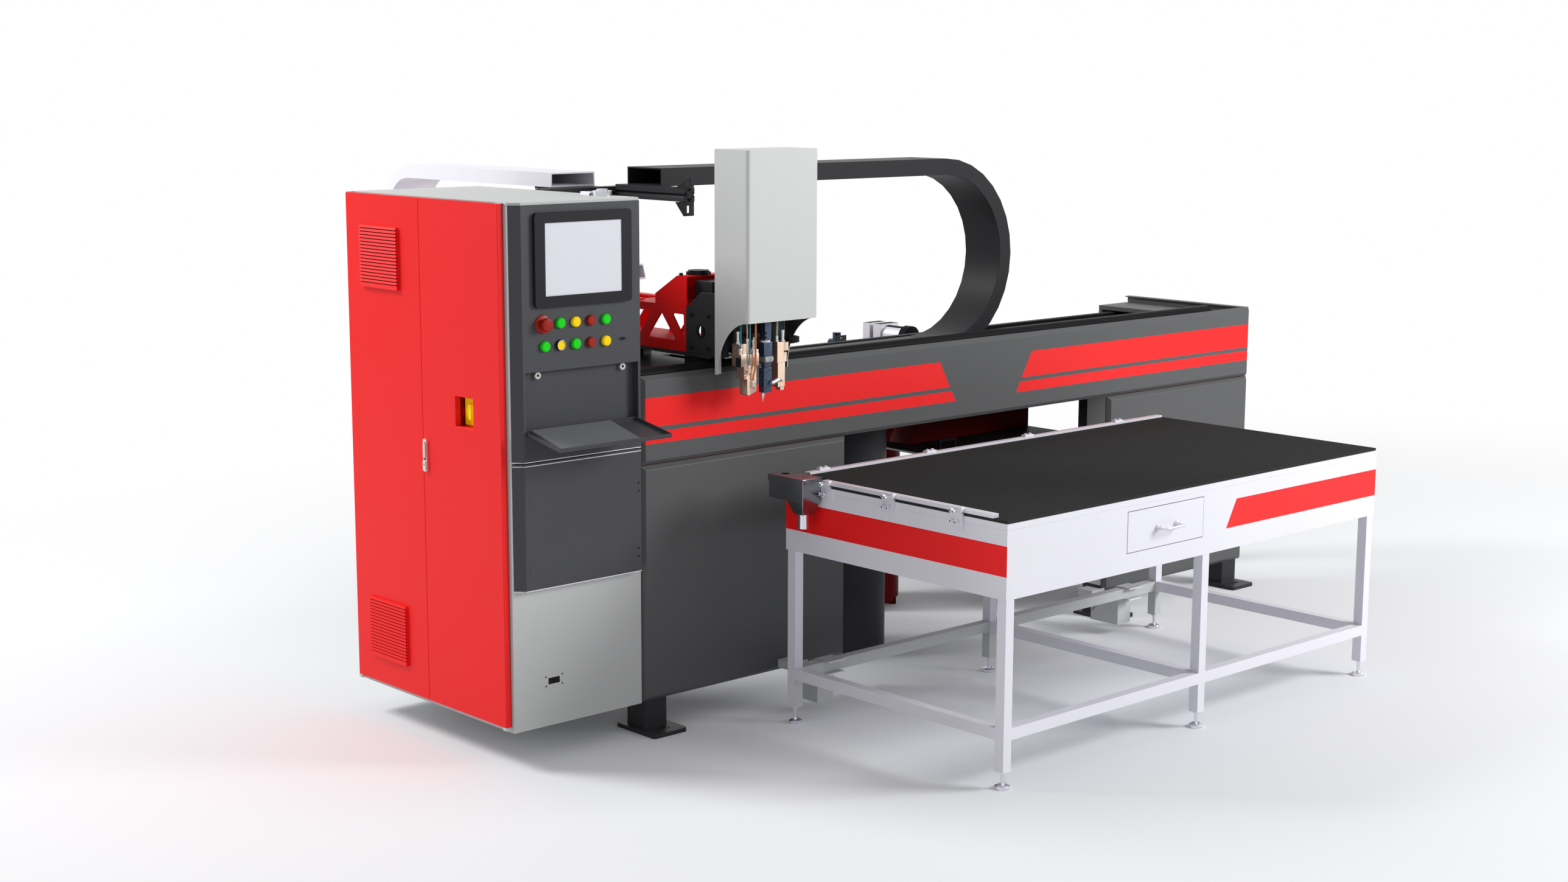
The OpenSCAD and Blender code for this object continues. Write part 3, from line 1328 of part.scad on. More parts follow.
// Shelf, ducts and partition under the bed
module service_bench() {
    x0 = -94.5;
    x1 = post_x - seat;
    color([0.6, 0.61, 0.62]) {
        block([x0, x1], [-215, 215], [772, 780]);
        for (x = [x0 + 20, x1 - 60]) block([x, x + 30], [180, 200], [779, cover_bottom - seat]);
        for (x = [x0 + 140, x0 + 230]) block([x, x + 10], [-50, -38], [780, 812]);
        block([x0 + 140, x0 + 240], [-50, -38], [806, 816]);
    }
    color([0.1, 0.1, 0.11]) block([post_x + col + seat, post_x + col + 8], [-222.5, -92.5], [140, cover_bottom - seat]);
    color("darkred") along_y(104.5, 214.5) polygon([[17, 780.3], [x1, 780.3], [x1, 950], [117, 950]]);
}

machine_bed();
front_cover();
pedestal_panels();
floor_columns();
support_post();
end_box();
x_rails();
cabinet_body();
cabinet_roof();
front_door();
rear_door();
door_vents();
swing_handle();
switch_knob();
upper_cover();
lower_cover();
touch_screen();
emergency_stop();
start_button();
pause_button();
stop_button();
reset_button();
power_button();
light_button();
pump_button();
purge_button();
home_button();
keyboard_tray();
keyboard();
roof_swivel();
mounting_plate();
x_carriage();
chain_support();
truss_arm();
arm_base();
end_bracket();
motor_hood();
head_cover();
z_slide();
mixing_head();
left_valve();
right_valve();
mixer_shaft();
x_chain_guide();
x_chain_top();
x_chain_loop();
y_chain_guide();
y_chain_top();
y_chain_loop();
table_frame();
table_top();
felt_pad();
drawer();
guide_bars();
guide_clamps();
levelling_feet();
purge_box();
supply_tanks();
service_bench();
air_regulator();
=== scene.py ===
"""Finishes, fine detail and studio for a gantry machine that lays foamed gasket beads.

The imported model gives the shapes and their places, in metres, with Z up and the beam along X.
Each operator below dresses one group of pieces; the last one builds the floor, lamps and camera.
"""

import json
import math

import bmesh
import bpy
from bpy.props import FloatProperty, FloatVectorProperty, PointerProperty
from mathutils import Matrix, Vector

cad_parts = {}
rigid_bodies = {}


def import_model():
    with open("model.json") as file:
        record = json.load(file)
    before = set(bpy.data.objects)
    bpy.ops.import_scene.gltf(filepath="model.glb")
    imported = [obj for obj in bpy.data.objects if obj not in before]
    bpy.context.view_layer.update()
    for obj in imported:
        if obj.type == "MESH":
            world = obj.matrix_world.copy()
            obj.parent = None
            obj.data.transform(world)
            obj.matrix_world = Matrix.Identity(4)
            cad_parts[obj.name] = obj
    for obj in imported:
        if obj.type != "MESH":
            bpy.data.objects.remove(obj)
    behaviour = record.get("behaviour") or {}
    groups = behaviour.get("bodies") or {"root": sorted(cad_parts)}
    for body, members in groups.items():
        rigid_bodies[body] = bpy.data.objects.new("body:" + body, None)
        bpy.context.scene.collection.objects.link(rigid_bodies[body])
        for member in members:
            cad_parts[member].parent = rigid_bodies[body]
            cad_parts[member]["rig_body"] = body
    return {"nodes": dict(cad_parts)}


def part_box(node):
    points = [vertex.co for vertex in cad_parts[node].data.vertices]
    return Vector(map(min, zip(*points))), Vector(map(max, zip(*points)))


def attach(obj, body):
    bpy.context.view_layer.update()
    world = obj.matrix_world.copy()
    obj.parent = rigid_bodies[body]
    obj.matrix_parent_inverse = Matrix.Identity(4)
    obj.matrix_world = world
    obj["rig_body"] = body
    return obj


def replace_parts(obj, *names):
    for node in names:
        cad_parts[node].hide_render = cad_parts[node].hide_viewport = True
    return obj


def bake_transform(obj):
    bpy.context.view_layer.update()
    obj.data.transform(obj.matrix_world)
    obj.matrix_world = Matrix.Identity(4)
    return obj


bl_info = {
    "name": "Gasket Dispensing Machine",
    "version": (1, 0, 0),
    "blender": (4, 5, 0),
    "location": "View3D > Sidebar > Gasket Machine",
    "description": "Dresses the packed gasket dispensing machine and sets up its studio",
    "category": "Object",
}

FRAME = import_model()
NODES = FRAME["nodes"]
BOXES = {name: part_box(name) for name in NODES}
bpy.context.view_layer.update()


def tone(name, description, *levels):
    """A colour property whose default is written as it shows on a screen, from 0 to 255."""
    return FloatVectorProperty(name=name, description=description, subtype="COLOR_GAMMA",
                               size=3, min=0, max=1, default=[level / 255 for level in levels])


def length(name, description, default, low, high):
    """A size property in metres."""
    return FloatProperty(name=name, description=description, default=default, min=low,
                         max=high, unit="LENGTH", subtype="DISTANCE", precision=4)


class MachineColours(bpy.types.PropertyGroup):
    door_red: tone("Door red", "Powder coat of the cabinet doors", 240, 18, 20)
    stripe_red: tone("Stripe red", "Bands painted on the beam and the table", 246, 16, 18)
    truss_red: tone("Arm red", "Paint of the arm and the motor hood", 246, 27, 29)
    # A darkened red that paints the shade under the beam onto the tank and the duct
    shade_darkened_red: tone("Tank red", "Paint of the red tank and the duct under the beam", 84, 4, 8)
    machine_grey: tone("Machine grey", "Paint of the beam and its pedestals", 84, 85, 86)
    cover_grey: tone("Cover grey", "Paint of the control covers", 66, 67, 71)
    key_grey: tone("Key grey", "Paint of the keys", 114, 116, 118)
    screen_frame: tone("Screen frame", "Plastic round the touch screen", 33, 33, 37)
    screen_face: tone("Screen face", "Idle touch screen", 213, 213, 221)
    cabinet_grey: tone("Cabinet grey", "Pale paint of the cabinet and its roof", 190, 192, 191)
    cover_white: tone("Head cover white", "Pale paint of the mixing head's cover", 208, 210, 208)
    table_white: tone("Table white", "Paint of the table, its apron and its drawer", 226, 225, 233)
    black_paint: tone("Black paint", "Columns, carriage and brackets", 50, 50, 53)
    bracket_black: tone("Bracket black", "Blackened plates and screws", 30, 30, 32)
    chain_black: tone("Black chain", "Nylon of the chain along the beam", 34, 34, 37)
    chain_white: tone("White chain", "Nylon of the chain along the arm", 232, 231, 238)
    felt: tone("Felt", "Needle felt on the table", 50, 50, 50)
    # The valves' fronts show their bronze; their sides take a darker copy of it, which paints the
    # shade on them
    copper: tone("Valve bronze", "Milled fronts of the metering valves", 250, 218, 194)
    bronze_side_shade: tone("Dull bronze", "Blasted sides of the metering valves", 146, 122, 110)
    blued: tone("Blued steel", "Mixing chamber", 66, 80, 100)
    nickel: tone("Nickel", "Hose fittings and the door's handle", 236, 233, 226)
    trim: tone("Bright trim", "Bare edges of the control covers", 232, 232, 234)
    # Dark grey that paints the shade inside the head's cover onto its inner faces
    inside_shade_grey: tone("Cover inside", "Unlit inside of the head's cover", 52, 52, 53)
    dark_steel: tone("Dark steel", "Mirror-bright steel of the purge box", 150, 151, 155)
    green: tone("Green", "Start, reset, power and pump buttons", 20, 210, 20)
    yellow: tone("Yellow", "Pause, light and home buttons, and the isolator", 250, 212, 0)
    dark_red: tone("Dark red", "Stop and purge buttons, and the emergency stop", 158, 26, 12)
    # A dark red that paints shade, in the vents' slits and behind the beam's joint
    painted_shade_red: tone("Louvre dark", "Shaded red between the boards of a vent", 92, 12, 14)
    latch: tone("Latch", "Nickel of the latches over the keyboard", 196, 190, 184)
    air_hose: tone("Air hose", "Thin pneumatic hoses of the valves", 48, 132, 150)
    feed_hose: tone("Feed hose", "Clear material hoses of the valves", 214, 190, 150)
    copper_pipe: tone("Copper pipe", "Bent pipe in front of the left valve", 204, 122, 76)


class MachineSizes(bpy.types.PropertyGroup):
    edge: length("Sheet edge", "Radius along the edges of the sheet covers", 0.002, 0.0005, 0.005)
    small_edge: length("Small edge", "Radius along the edges of small parts", 0.0007, 0.0002, 0.002)
    tube_edge: length("Tube edge", "Corner radius of the square steel tube", 0.003, 0.001, 0.006)
    band_top: length("Band top", "Upper edge of the beam's wide band", 1.192, 1.15, 1.22)
    band_height: length("Band height", "Height of the beam's wide band", 0.103, 0.05, 0.15)
    table_band_top: length("Table band top", "Upper edge of the table's band", 0.810, 0.75, 0.85)
    table_band: length("Table band height", "Height of the table's band", 0.101, 0.05, 0.15)
    louvre_gap: length("Louvre gap", "Height of the slit under each board of a vent", 0.0034,
                       0.001, 0.005)
    air_hose: length("Air hose", "Diameter of the pneumatic hoses", 0.005, 0.003, 0.008)
    feed_hose: length("Feed hose", "Diameter of the material hoses", 0.006, 0.004, 0.01)


class StudioSettings(bpy.types.PropertyGroup):
    floor: tone("Floor", "Pale studio floor", 243, 245, 248)
    key: FloatProperty(name="Key", description="Strength of the lamp in front", default=520,
                       min=0, unit="POWER")
    side: FloatProperty(name="Side", description="Strength of the lamp that lights the doors",
                        default=330, min=0, unit="POWER")
    sky: FloatProperty(name="Sky", description="Even light from all round", default=0.42,
                       min=0, max=2)
    lens: FloatProperty(name="Lens", description="Focal length on a 36 mm sensor", default=50.39,
                        min=20, max=120, unit="CAMERA")


def linear(level):
    """A screen colour as the linear colour that a shader takes."""
    return tuple(c / 12.92 if c <= 0.04045 else ((c + 0.055) / 1.055) ** 2.4 for c in level)


class Wire:
    """An output socket of a node tree. Python's operators on it add Math nodes."""

    def __init__(self, finish, socket):
        self.finish = finish
        self.socket = socket

    def math(self, operation, *values):
        """A Math node on these values or links."""
        return self.finish.node("ShaderNodeMath", {"operation": operation}, dict(enumerate(values)))

    def output(self, name):
        """Another output of the same node."""
        return Wire(self.finish, self.socket.node.outputs[name])

    def __add__(self, other):
        return self.math("ADD", self, other)

    def __sub__(self, other):
        return self.math("SUBTRACT", self, other)

    def __rsub__(self, other):
        return self.math("SUBTRACT", other, self)

    def __mul__(self, other):
        return self.math("MULTIPLY", self, other)

    def __gt__(self, other):
        return self.math("GREATER_THAN", self, other)

    def __lt__(self, other):
        return self.math("LESS_THAN", self, other)

    def __abs__(self):
        return self.math("ABSOLUTE", self)

    __radd__ = __add__
    __rmul__ = __mul__


class Finish:
    """The node tree of one procedural material, or of the world."""

    def __init__(self, owner):
        self.owner = owner
        owner.use_nodes = True
        self.tree = owner.node_tree
        self.tree.nodes.clear()

    def node(self, kind, settings=None, inputs=None, output=0):
        """Adds a node, makes its settings, then fills its sockets with values or links."""
        made = self.tree.nodes.new(kind)
        for key, value in (settings or {}).items():
            setattr(made, key, value)
        for key, value in (inputs or {}).items():
            if isinstance(value, Wire):
                self.tree.links.new(value.socket, made.inputs[key])
            else:
                made.inputs[key].default_value = value
        return Wire(self, made.outputs[output]) if made.outputs else None

    def place(self):
        """The point's place in the machine's own frame, at rest."""
        return self.node("ShaderNodeTexCoord", output="Object")

    def axes(self):
        """The three coordinates of the point's place."""
        x = self.node("ShaderNodeSeparateXYZ", None, {0: self.place()})
        return x, x.output("Y"), x.output("Z")

    def noise(self, scale, detail=2.0, stretch=(1, 1, 1), roughness=0.5):
        """Noise that stays where it is on the piece. The scale is in cells per metre."""
        spread = self.node("ShaderNodeMapping", None, {"Vector": self.place(), "Scale": stretch})
        return self.node("ShaderNodeTexNoise", None, {"Vector": spread, "Scale": scale,
                                                      "Detail": detail, "Roughness": roughness})

    def mix(self, factor, first, second):
        """Mixes two colours, each a linear colour or a link."""
        a, b = [(*c, 1) if isinstance(c, tuple) and len(c) == 3 else c for c in (first, second)]
        return self.node("ShaderNodeMix", {"data_type": "RGBA"}, {0: factor, 6: a, 7: b}, output=2)

    def shaded(self, colour, factor, depth):
        """A colour that a noise moves a little lighter and darker."""
        low = tuple(max(0, c * (1 - depth)) for c in colour)
        high = tuple(min(1, c * (1 + depth)) for c in colour)
        return self.mix(factor, low, high)

    def bump(self, height, distance, strength=1.0):
        """A normal that follows a height, whose full rise is the distance."""
        return self.node("ShaderNodeBump", None, {"Height": height, "Distance": distance,
                                                  "Strength": strength})

    def surface(self, **sockets):
        """Ends a material's tree in one Principled BSDF."""
        named = {key.replace("_", " "): value for key, value in sockets.items()}
        shader = self.node("ShaderNodeBsdfPrincipled", None, named)
        self.node("ShaderNodeOutputMaterial", None, {"Surface": shader})


MADE = {}


def finish(name):
    """The named finish, made once."""
    if name not in MADE:
        kind, key, options = FINISHES[name]
        tree = Finish(bpy.data.materials.new(name))
        kind(tree, linear(getattr(bpy.context.scene.gasket_colours, key)), **options)
        MADE[name] = tree.owner
    return MADE[name]


def powder_coat(tree, colour, roughness=0.42, grain=0.00012, depth=0.035, bands=None, gloss=0.3):
    """Powder coat: faint clouds, a fine orange peel, and painted bands where they are given."""
    clouds = tree.noise(scale=2.3, detail=3)
    peel = tree.noise(scale=520)
    fine = tree.noise(scale=1400, detail=1)
    shade = clouds * 0.6 + fine * 0.4
    base = tree.shaded(colour, shade, depth)
    if bands:
        red = linear(bpy.context.scene.gasket_colours.stripe_red)
        base = tree.mix(bands(tree), base, tree.shaded(red, shade, depth))
    tree.surface(Base_Color=base, Roughness=clouds * 0.08 + (roughness - 0.04),
                 Specular_IOR_Level=gloss, Normal=tree.bump(peel, grain))


def beam_bands(tree):
    """The beam's wide and narrow bands, which leave a slanted gap in the middle."""
    sizes = bpy.context.scene.gasket_sizes
    front = BOXES["front_cover"][0].y + 0.002
    slant, half_gap = 0.568, 0.268
    between, narrow_height = 0.016, 0.042
    x, y, z = tree.axes()
    top = sizes.band_top
    narrow_top = top - sizes.band_height - between
    wide = (z < top) * (z > top - sizes.band_height)
    narrow = (z < narrow_top) * (z > narrow_top - narrow_height)
    outside = abs(x) > (z - top) * slant + half_gap
    return (wide + narrow) * outside * (y < front)


def table_bands(tree):
    """The band round the table's ends, and its slanted start on the front."""
    sizes = bpy.context.scene.gasket_sizes
    low, high = BOXES["table_frame"]
    skin = 0.0006
    slant, start = 0.564, -0.0545
    x, y, z = tree.axes()
    top = sizes.table_band_top
    level = (z < top) * (z > top - sizes.table_band)
    ends = (x < low.x + skin) + (x > high.x - skin)
    front = (y < low.y + skin) * (x > (z - top) * slant + start)
    return level * (1 - (1 - ends) * (1 - front))


def moulded(tree, colour, roughness=0.4, coat=0.0, depth=0.04, glow=0.0, gloss=0.3):
    """Moulded plastic with a fine spark-eroded grain."""
    grain = tree.noise(scale=900, detail=3)
    clouds = tree.noise(scale=6)
    base = tree.shaded(colour, clouds * 0.5 + grain * 0.5, depth)
    tree.surface(Base_Color=base, Roughness=grain * 0.12 + (roughness - 0.06),
                 Coat_Weight=coat, Coat_Roughness=0.12, Emission_Color=base,
                 Emission_Strength=glow, Specular_IOR_Level=gloss, Normal=tree.bump(grain, 0.00008))


def metal(tree, colour, roughness=0.3, grain=(1, 1, 30), depth=0.08, metallic=1.0):
    """Bare metal with the marks of grinding or drawing along one direction."""
    marks = tree.noise(scale=160, detail=4, stretch=grain, roughness=0.65)
    clouds = tree.noise(scale=9)
    base = tree.shaded(colour, marks * 0.6 + clouds * 0.4, depth)
    tree.surface(Base_Color=base, Metallic=metallic,
                 Roughness=marks * 0.1 + clouds * 0.06 + (roughness - 0.08),
                 Normal=tree.bump(marks, 0.00003))


def needle_felt(tree, colour):
    """Needle felt: matted fibres in two sizes, with pale flecks."""
    fibres = tree.noise(scale=330, detail=6, roughness=0.7)
    tufts = tree.noise(scale=90, detail=3, stretch=(1, 1.6, 1))
    flecks = tree.node("ShaderNodeTexVoronoi", {"feature": "F1"},
                       {"Vector": tree.place(), "Scale": 260.0})
    dark = tuple(c * 0.42 for c in colour)
    light = tuple(min(1, c * 1.9) for c in colour)
    base = tree.mix(fibres * 0.75 + tufts * 0.25, dark, light)
    base = tree.mix((flecks < 0.12) * 0.35, base, light)
    tree.surface(Base_Color=base, Roughness=0.96, Specular_IOR_Level=0.02,
                 Normal=tree.bump(fibres * 0.7 + tufts * 0.3, 0.0012, 0.7))


def chain_nylon(tree, colour, roughness=0.45):
    """Glass-filled nylon with a soft moulded texture."""
    grain = tree.noise(scale=420, detail=4)
    clouds = tree.noise(scale=3.1)
    base = tree.shaded(colour, clouds * 0.7 + grain * 0.3, 0.06)
    tree.surface(Base_Color=base, Roughness=grain * 0.15 + (roughness - 0.07),
                 Specular_IOR_Level=0.15, Normal=tree.bump(grain, 0.00015))


FINISHES = {
    "door_red": (powder_coat, "door_red", {"roughness": 0.5}),
    "machine_grey": (powder_coat, "machine_grey", {"roughness": 0.5}),
    "beam_paint": (powder_coat, "machine_grey", {"roughness": 0.5, "bands": beam_bands}),
    "cover_grey": (powder_coat, "cover_grey", {"roughness": 0.5}),
    "cabinet_grey": (powder_coat, "cabinet_grey", {"roughness": 0.5}),
    "cover_white": (powder_coat, "cover_white", {"roughness": 0.45}),
    "table_white": (powder_coat, "table_white", {"roughness": 0.45}),
    "table_paint": (powder_coat, "table_white", {"roughness": 0.45, "bands": table_bands}),
    "truss_red": (powder_coat, "truss_red", {"roughness": 0.4, "gloss": 0.07}),
    "shade_darkened_red": (powder_coat, "shade_darkened_red", {"roughness": 0.4, "gloss": 0.04}),
    "black_paint": (powder_coat, "black_paint", {"roughness": 0.45, "gloss": 0.15}),
    "bracket_black": (powder_coat, "bracket_black", {"roughness": 0.4, "gloss": 0.15}),
    "painted_shade_red": (powder_coat, "painted_shade_red", {"roughness": 0.9, "gloss": 0.0}),
    "chain_black": (chain_nylon, "chain_black", {}),
    "chain_white": (chain_nylon, "chain_white", {}),
    "felt": (needle_felt, "felt", {}),
    "screen_frame": (moulded, "screen_frame", {"roughness": 0.45, "gloss": 0.15}),
    "screen_face": (moulded, "screen_face", {"roughness": 0.3, "glow": 0.15, "depth": 0.03}),
    # Green and yellow plastic carry a faint painted glow, on the caps, their bezels and the
    # isolator knob alike.
    "green": (moulded, "green", {"roughness": 0.35, "coat": 0.1, "glow": 0.1, "gloss": 0.15}),
    "yellow": (moulded, "yellow", {"roughness": 0.35, "coat": 0.1, "glow": 0.1, "gloss": 0.15}),
    "dark_red": (moulded, "dark_red", {"roughness": 0.4, "coat": 0.05, "gloss": 0.2}),
    "black_plastic": (moulded, "bracket_black", {"roughness": 0.4, "gloss": 0.08}),
    "latch": (metal, "latch", {"roughness": 0.42, "metallic": 0.5, "grain": (1, 1, 1)}),
    "air_hose": (moulded, "air_hose", {"roughness": 0.25, "coat": 0.4}),
    "feed_hose": (moulded, "feed_hose", {"roughness": 0.2, "coat": 0.5}),
    "copper_pipe": (metal, "copper_pipe", {"roughness": 0.25, "metallic": 0.8}),
    "steel": (metal, "table_white", {"roughness": 0.28}),
    "polished": (metal, "table_white", {"roughness": 0.14, "depth": 0.04}),
    "dark_steel": (metal, "dark_steel", {"roughness": 0.18, "depth": 0.03}),
    "regulator": (metal, "blued", {"roughness": 0.2, "metallic": 0.8, "grain": (1, 1, 1)}),
    "aluminium": (metal, "cover_white", {"roughness": 0.38, "metallic": 0.7}),
    "pale_alu": (metal, "table_white", {"roughness": 0.45, "metallic": 0.35}),
    "copper": (metal, "copper", {"roughness": 0.3, "metallic": 0.7}),
    "bronze_side_shade": (metal, "bronze_side_shade", {"roughness": 0.42, "metallic": 0.5, "grain": (1, 1, 1)}),
    "clamp_grey": (metal, "dark_steel", {"roughness": 0.4, "metallic": 0.3, "grain": (1, 1, 1)}),
    "blued": (metal, "blued", {"roughness": 0.32, "metallic": 0.6}),
    "nickel": (metal, "nickel", {"roughness": 0.24, "metallic": 0.75, "depth": 0.04}),
    "trim": (powder_coat, "trim", {"roughness": 0.35}),
    "inside_shade_grey": (powder_coat, "inside_shade_grey", {"roughness": 0.6, "gloss": 0.1}),
    "keys": (powder_coat, "key_grey", {"roughness": 0.7, "gloss": 0.08}),
    "rail_black": (powder_coat, "bracket_black", {"roughness": 0.4, "gloss": 0.02}),
}

BUTTONS = {"green": ("start", "reset", "power", "pump"), "yellow": ("pause", "light", "home"),
           "dark_red": ("stop", "purge")}
SLOT_OF = {"dark_red": "red_plastic"}
DOOR_FACE = BOXES["rear_door"][0].x
PANEL_FRONT = BOXES["lower_cover"][0].y
RECESS = PANEL_FRONT + 0.027
LATCH_HEIGHT = 1.308
MANIFOLD = 1.600
LEFT_AIR, FRONT_AIR, PIPE_FOOT = (-1.4288, -0.494), (-1.398, -0.5045), (-1.381, -0.5055)
SAME_POINT = 1e-5
FINE_EDGE = 0.0002
TO_FRONT, TO_BACK, TO_LEFT, UP, DOWN = (0, -1, 0), (0, 1, 0), (-1, 0, 0), (0, 0, 1), (0, 0, -1)


def welded(node):
    """A mesh like the node's, with its flat faces joined again."""
    mesh = NODES[node].data.copy()
    mesh.materials.clear()
    bm = bmesh.new()
    bm.from_mesh(mesh)
    bmesh.ops.remove_doubles(bm, verts=bm.verts, dist=SAME_POINT)
    bmesh.ops.dissolve_limit(bm, angle_limit=math.radians(0.5), verts=bm.verts, edges=bm.edges)
    bm.normal_update()
    for face in bm.faces:
        face.material_index = 0
    return mesh, bm


def link(name, data):
    """Puts a new object with this data in the scene."""
    piece = bpy.data.objects.new(name, data)
    bpy.context.scene.collection.objects.link(piece)
    return piece


def narrowest(face, edge):
    """How far the face's nearest other corner lies from the edge's line."""
    a, b = (v.co for v in edge.verts)
    along = (b - a).normalized()
    gaps = [((v.co - a) - along * (v.co - a).dot(along)).length for v in face.verts
            if v not in edge.verts]
    return min((gap for gap in gaps if gap > SAME_POINT), default=0)


def soften(bm, width, angle=30, segments=2):
    """Rounds every sharp edge that has room for it, and leaves the others crisp."""
    least_length, least_face = width * 3, width * 2.2
    chosen = []
    for edge in bm.edges:
        sharp = len(edge.link_faces) == 2 and edge.calc_face_angle(0) > math.radians(angle)
        room = width and sharp and edge.calc_length() > least_length and all(
            narrowest(face, edge) > least_face for face in edge.link_faces)
        edge.smooth = not sharp or room
        if room:
            chosen.append(edge)
    if chosen:
        bmesh.ops.bevel(bm, geom=chosen, offset=width, offset_type="OFFSET", segments=segments,
                        profile=0.5, affect="EDGES", clamp_overlap=False, material=-1,
                        miter_outer="ARC", spread=width * 0.5)
    for face in bm.faces:
        face.smooth = True


def level_faces(piece):
    """Shades the wide faces flat, so that only the rounded edges turn the light."""
    shade = piece.modifiers.new("level_faces", "WEIGHTED_NORMAL")
    shade.mode = "FACE_AREA"
    shade.weight = 100
    shade.keep_sharp = True


def heights(low=-1.0, high=3.0):
    """A zone's test: whether a face's centre lies between two heights."""
    return lambda at, facing: low < at.z < high


def dress(node, main, width, zones=(), without=None):
    """Replaces a CAD node by its copy with rounded edges. Each zone is a finish and a test on a
    face's centre and normal, and the last zone that fits a face gives its finish. Faces that
    pass the test without make way for a finer form."""
    mesh, bm = welded(node)
    if without:
        gone = [face for face in bm.faces if without(face.calc_center_median(), face.normal)]
        bmesh.ops.delete(bm, geom=gone, context="FACES")
    for face in bm.faces:
        centre, normal = face.calc_center_median(), face.normal
        for i, (_, inside) in enumerate(zones):
            if inside(centre, normal):
                face.material_index = i + 1
    soften(bm, width)
    bm.to_mesh(mesh)
    bm.free()
    for name in [main] + [name for name, _ in zones]:
        mesh.materials.append(finish(name))
    piece = link(node + "_finished", mesh)
    level_faces(piece)
    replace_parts(piece, node)
    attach(piece, NODES[node]["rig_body"])


class Form:
    """A mesh of turned parts, prisms and screws that rides with one CAD node. The first of its
    finishes is the one that a part has when none is named."""

    def __init__(self, name, node, slot, *looks):
        self.name = name
        self.body = NODES[node]["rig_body"]
        self.slot = slot
        self.looks = looks
        self.bm = bmesh.new()

    def turned(self, outline, place, along, segments=32):
        """Turns (radius, height) points round a line. A third value changes the finish."""
        turn = Vector(along).to_track_quat("Z", "Y").to_matrix()
        look, rings = self.looks[0], []
        for radius, height, *change in outline:
            look = change[0] if change else look
            angles = range(segments if radius > 0 else 1)
            ring = [self.bm.verts.new(Vector(place) + turn @ Vector(
                (radius * math.cos(math.tau * i / segments),
                 radius * math.sin(math.tau * i / segments), height))) for i in angles]
            rings.append((ring, self.looks.index(look)))
        for (low, index), (high, _) in zip(rings, rings[1:]):
            for i in range(segments):
                j = i + 1
                corners = [low[i % len(low)], low[j % len(low)], high[j % len(high)],
                           high[i % len(high)]]
                face = self.bm.faces.new(list(dict.fromkeys(corners)))
                face.material_index = index
                face.smooth = True

    def disc(self, place, along, radius, height, look=None, rim=None, foot=0.0, segments=16):
        """A plug or a short bar, whose rim may be narrower than its foot."""
        self.turned([(0, foot, look or self.looks[0]), (radius, foot), (rim or radius, height),
                     (0, height)], place, along, segments)

    def screw(self, place, along, radius, height, hole="black_plastic"):
        """A cap screw with its socket, which has a finish of its own."""
        self.turned([(0, -0.0002), (radius, -0.0002), (radius, height * 0.85),
                     (radius * 0.88, height), (radius * 0.56, height),
                     (radius * 0.5, height * 0.92, hole), (radius * 0.46, height * 0.4),
                     (0, height * 0.4)], place, along, 24)

    def prism(self, outline, axis, low, high, look=None):
        """Draws an outline along X, Y or Z. The outline gives the other two, in order."""
        def corner(point, level):
            place = list(point)
            place.insert(axis, level)
            return self.bm.verts.new(place)
        near = [corner(point, low) for point in outline]
        far = [corner(point, high) for point in outline]
        faces = [self.bm.faces.new(near), self.bm.faces.new(far[::-1])]
        for i in range(len(outline)):
            j = (i + 1) % len(outline)
            faces.append(self.bm.faces.new([near[i], near[j], far[j], far[i]]))
        for face in faces:
            face.material_index = self.looks.index(look or self.looks[0])
            face.smooth = True
        return faces

    def block(self, low, high, look=None):
        """A box between two corners."""
        outline = [(low[0], low[1]), (high[0], low[1]), (high[0], high[1]), (low[0], high[1])]
        self.prism(outline, 2, low[2], high[2], look)

    def done(self, edge=FINE_EDGE):
        """Rounds the edges, and makes the mesh a piece of the scene."""
        bmesh.ops.remove_doubles(self.bm, verts=self.bm.verts, dist=1e-6)
        bmesh.ops.recalc_face_normals(self.bm, faces=self.bm.faces)
        soften(self.bm, edge, segments=2 if edge > FINE_EDGE else 1)
        mesh = bpy.data.meshes.new(self.name)
        self.bm.to_mesh(mesh)
        self.bm.free()
        for name in self.looks:
            mesh.materials.append(finish(name))
        piece = link(self.name, mesh)
        level_faces(piece)
        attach(piece, self.body)
        return piece


def rounded(low, high, radius, steps=5):
    """Corners of a rectangle with round corners."""
    left, right = low[0] + radius, high[0] - radius
    bottom, top = low[1] + radius, high[1] - radius
    points = []
    for i, (x, y) in enumerate([(right, top), (left, top), (left, bottom), (right, bottom)]):
        for k in range(steps + 1):
            angle = math.pi / 2 * (i + k / steps)
            points.append((x + radius * math.cos(angle), y + radius * math.sin(angle)))
    return points


def smooth_route(corners, steps=8):
    """Points of a smooth curve through the corners."""
    points = [Vector(c) for c in corners]
    padded = [points[0] * 2 - points[1], *points, points[-1] * 2 - points[-2]]
    route = []
    for a, b, c, d in zip(padded, padded[1:], padded[2:], padded[3:]):
        for k in range(steps):
            t = k / steps
            route.append(0.5 * (2 * b + (c - a) * t + (2 * a - 5 * b + 4 * c - d) * t ** 2
                                + (3 * b - a - 3 * c + d) * t ** 3))
    return route + [points[-1]]


def hose(name, corners, diameter, look, node):
    """A hose or pipe along a route."""
    route = smooth_route(corners)
    data = bpy.data.curves.new(name, "CURVE")
    data.dimensions = "3D"
    data.bevel_depth = diameter / 2
    data.bevel_resolution = 4
    data.use_fill_caps = True
    spline = data.splines.new("POLY")
    spline.points.add(len(route) - 1)
    for point, place in zip(spline.points, route):
        point.co = (*place, 1)
    spline.use_smooth = True
    data.materials.append(finish(look))
    piece = link(name, data)
    run = sum((b - a).length for a, b in zip(route, route[1:]))
    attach(piece, NODES[node]["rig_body"])


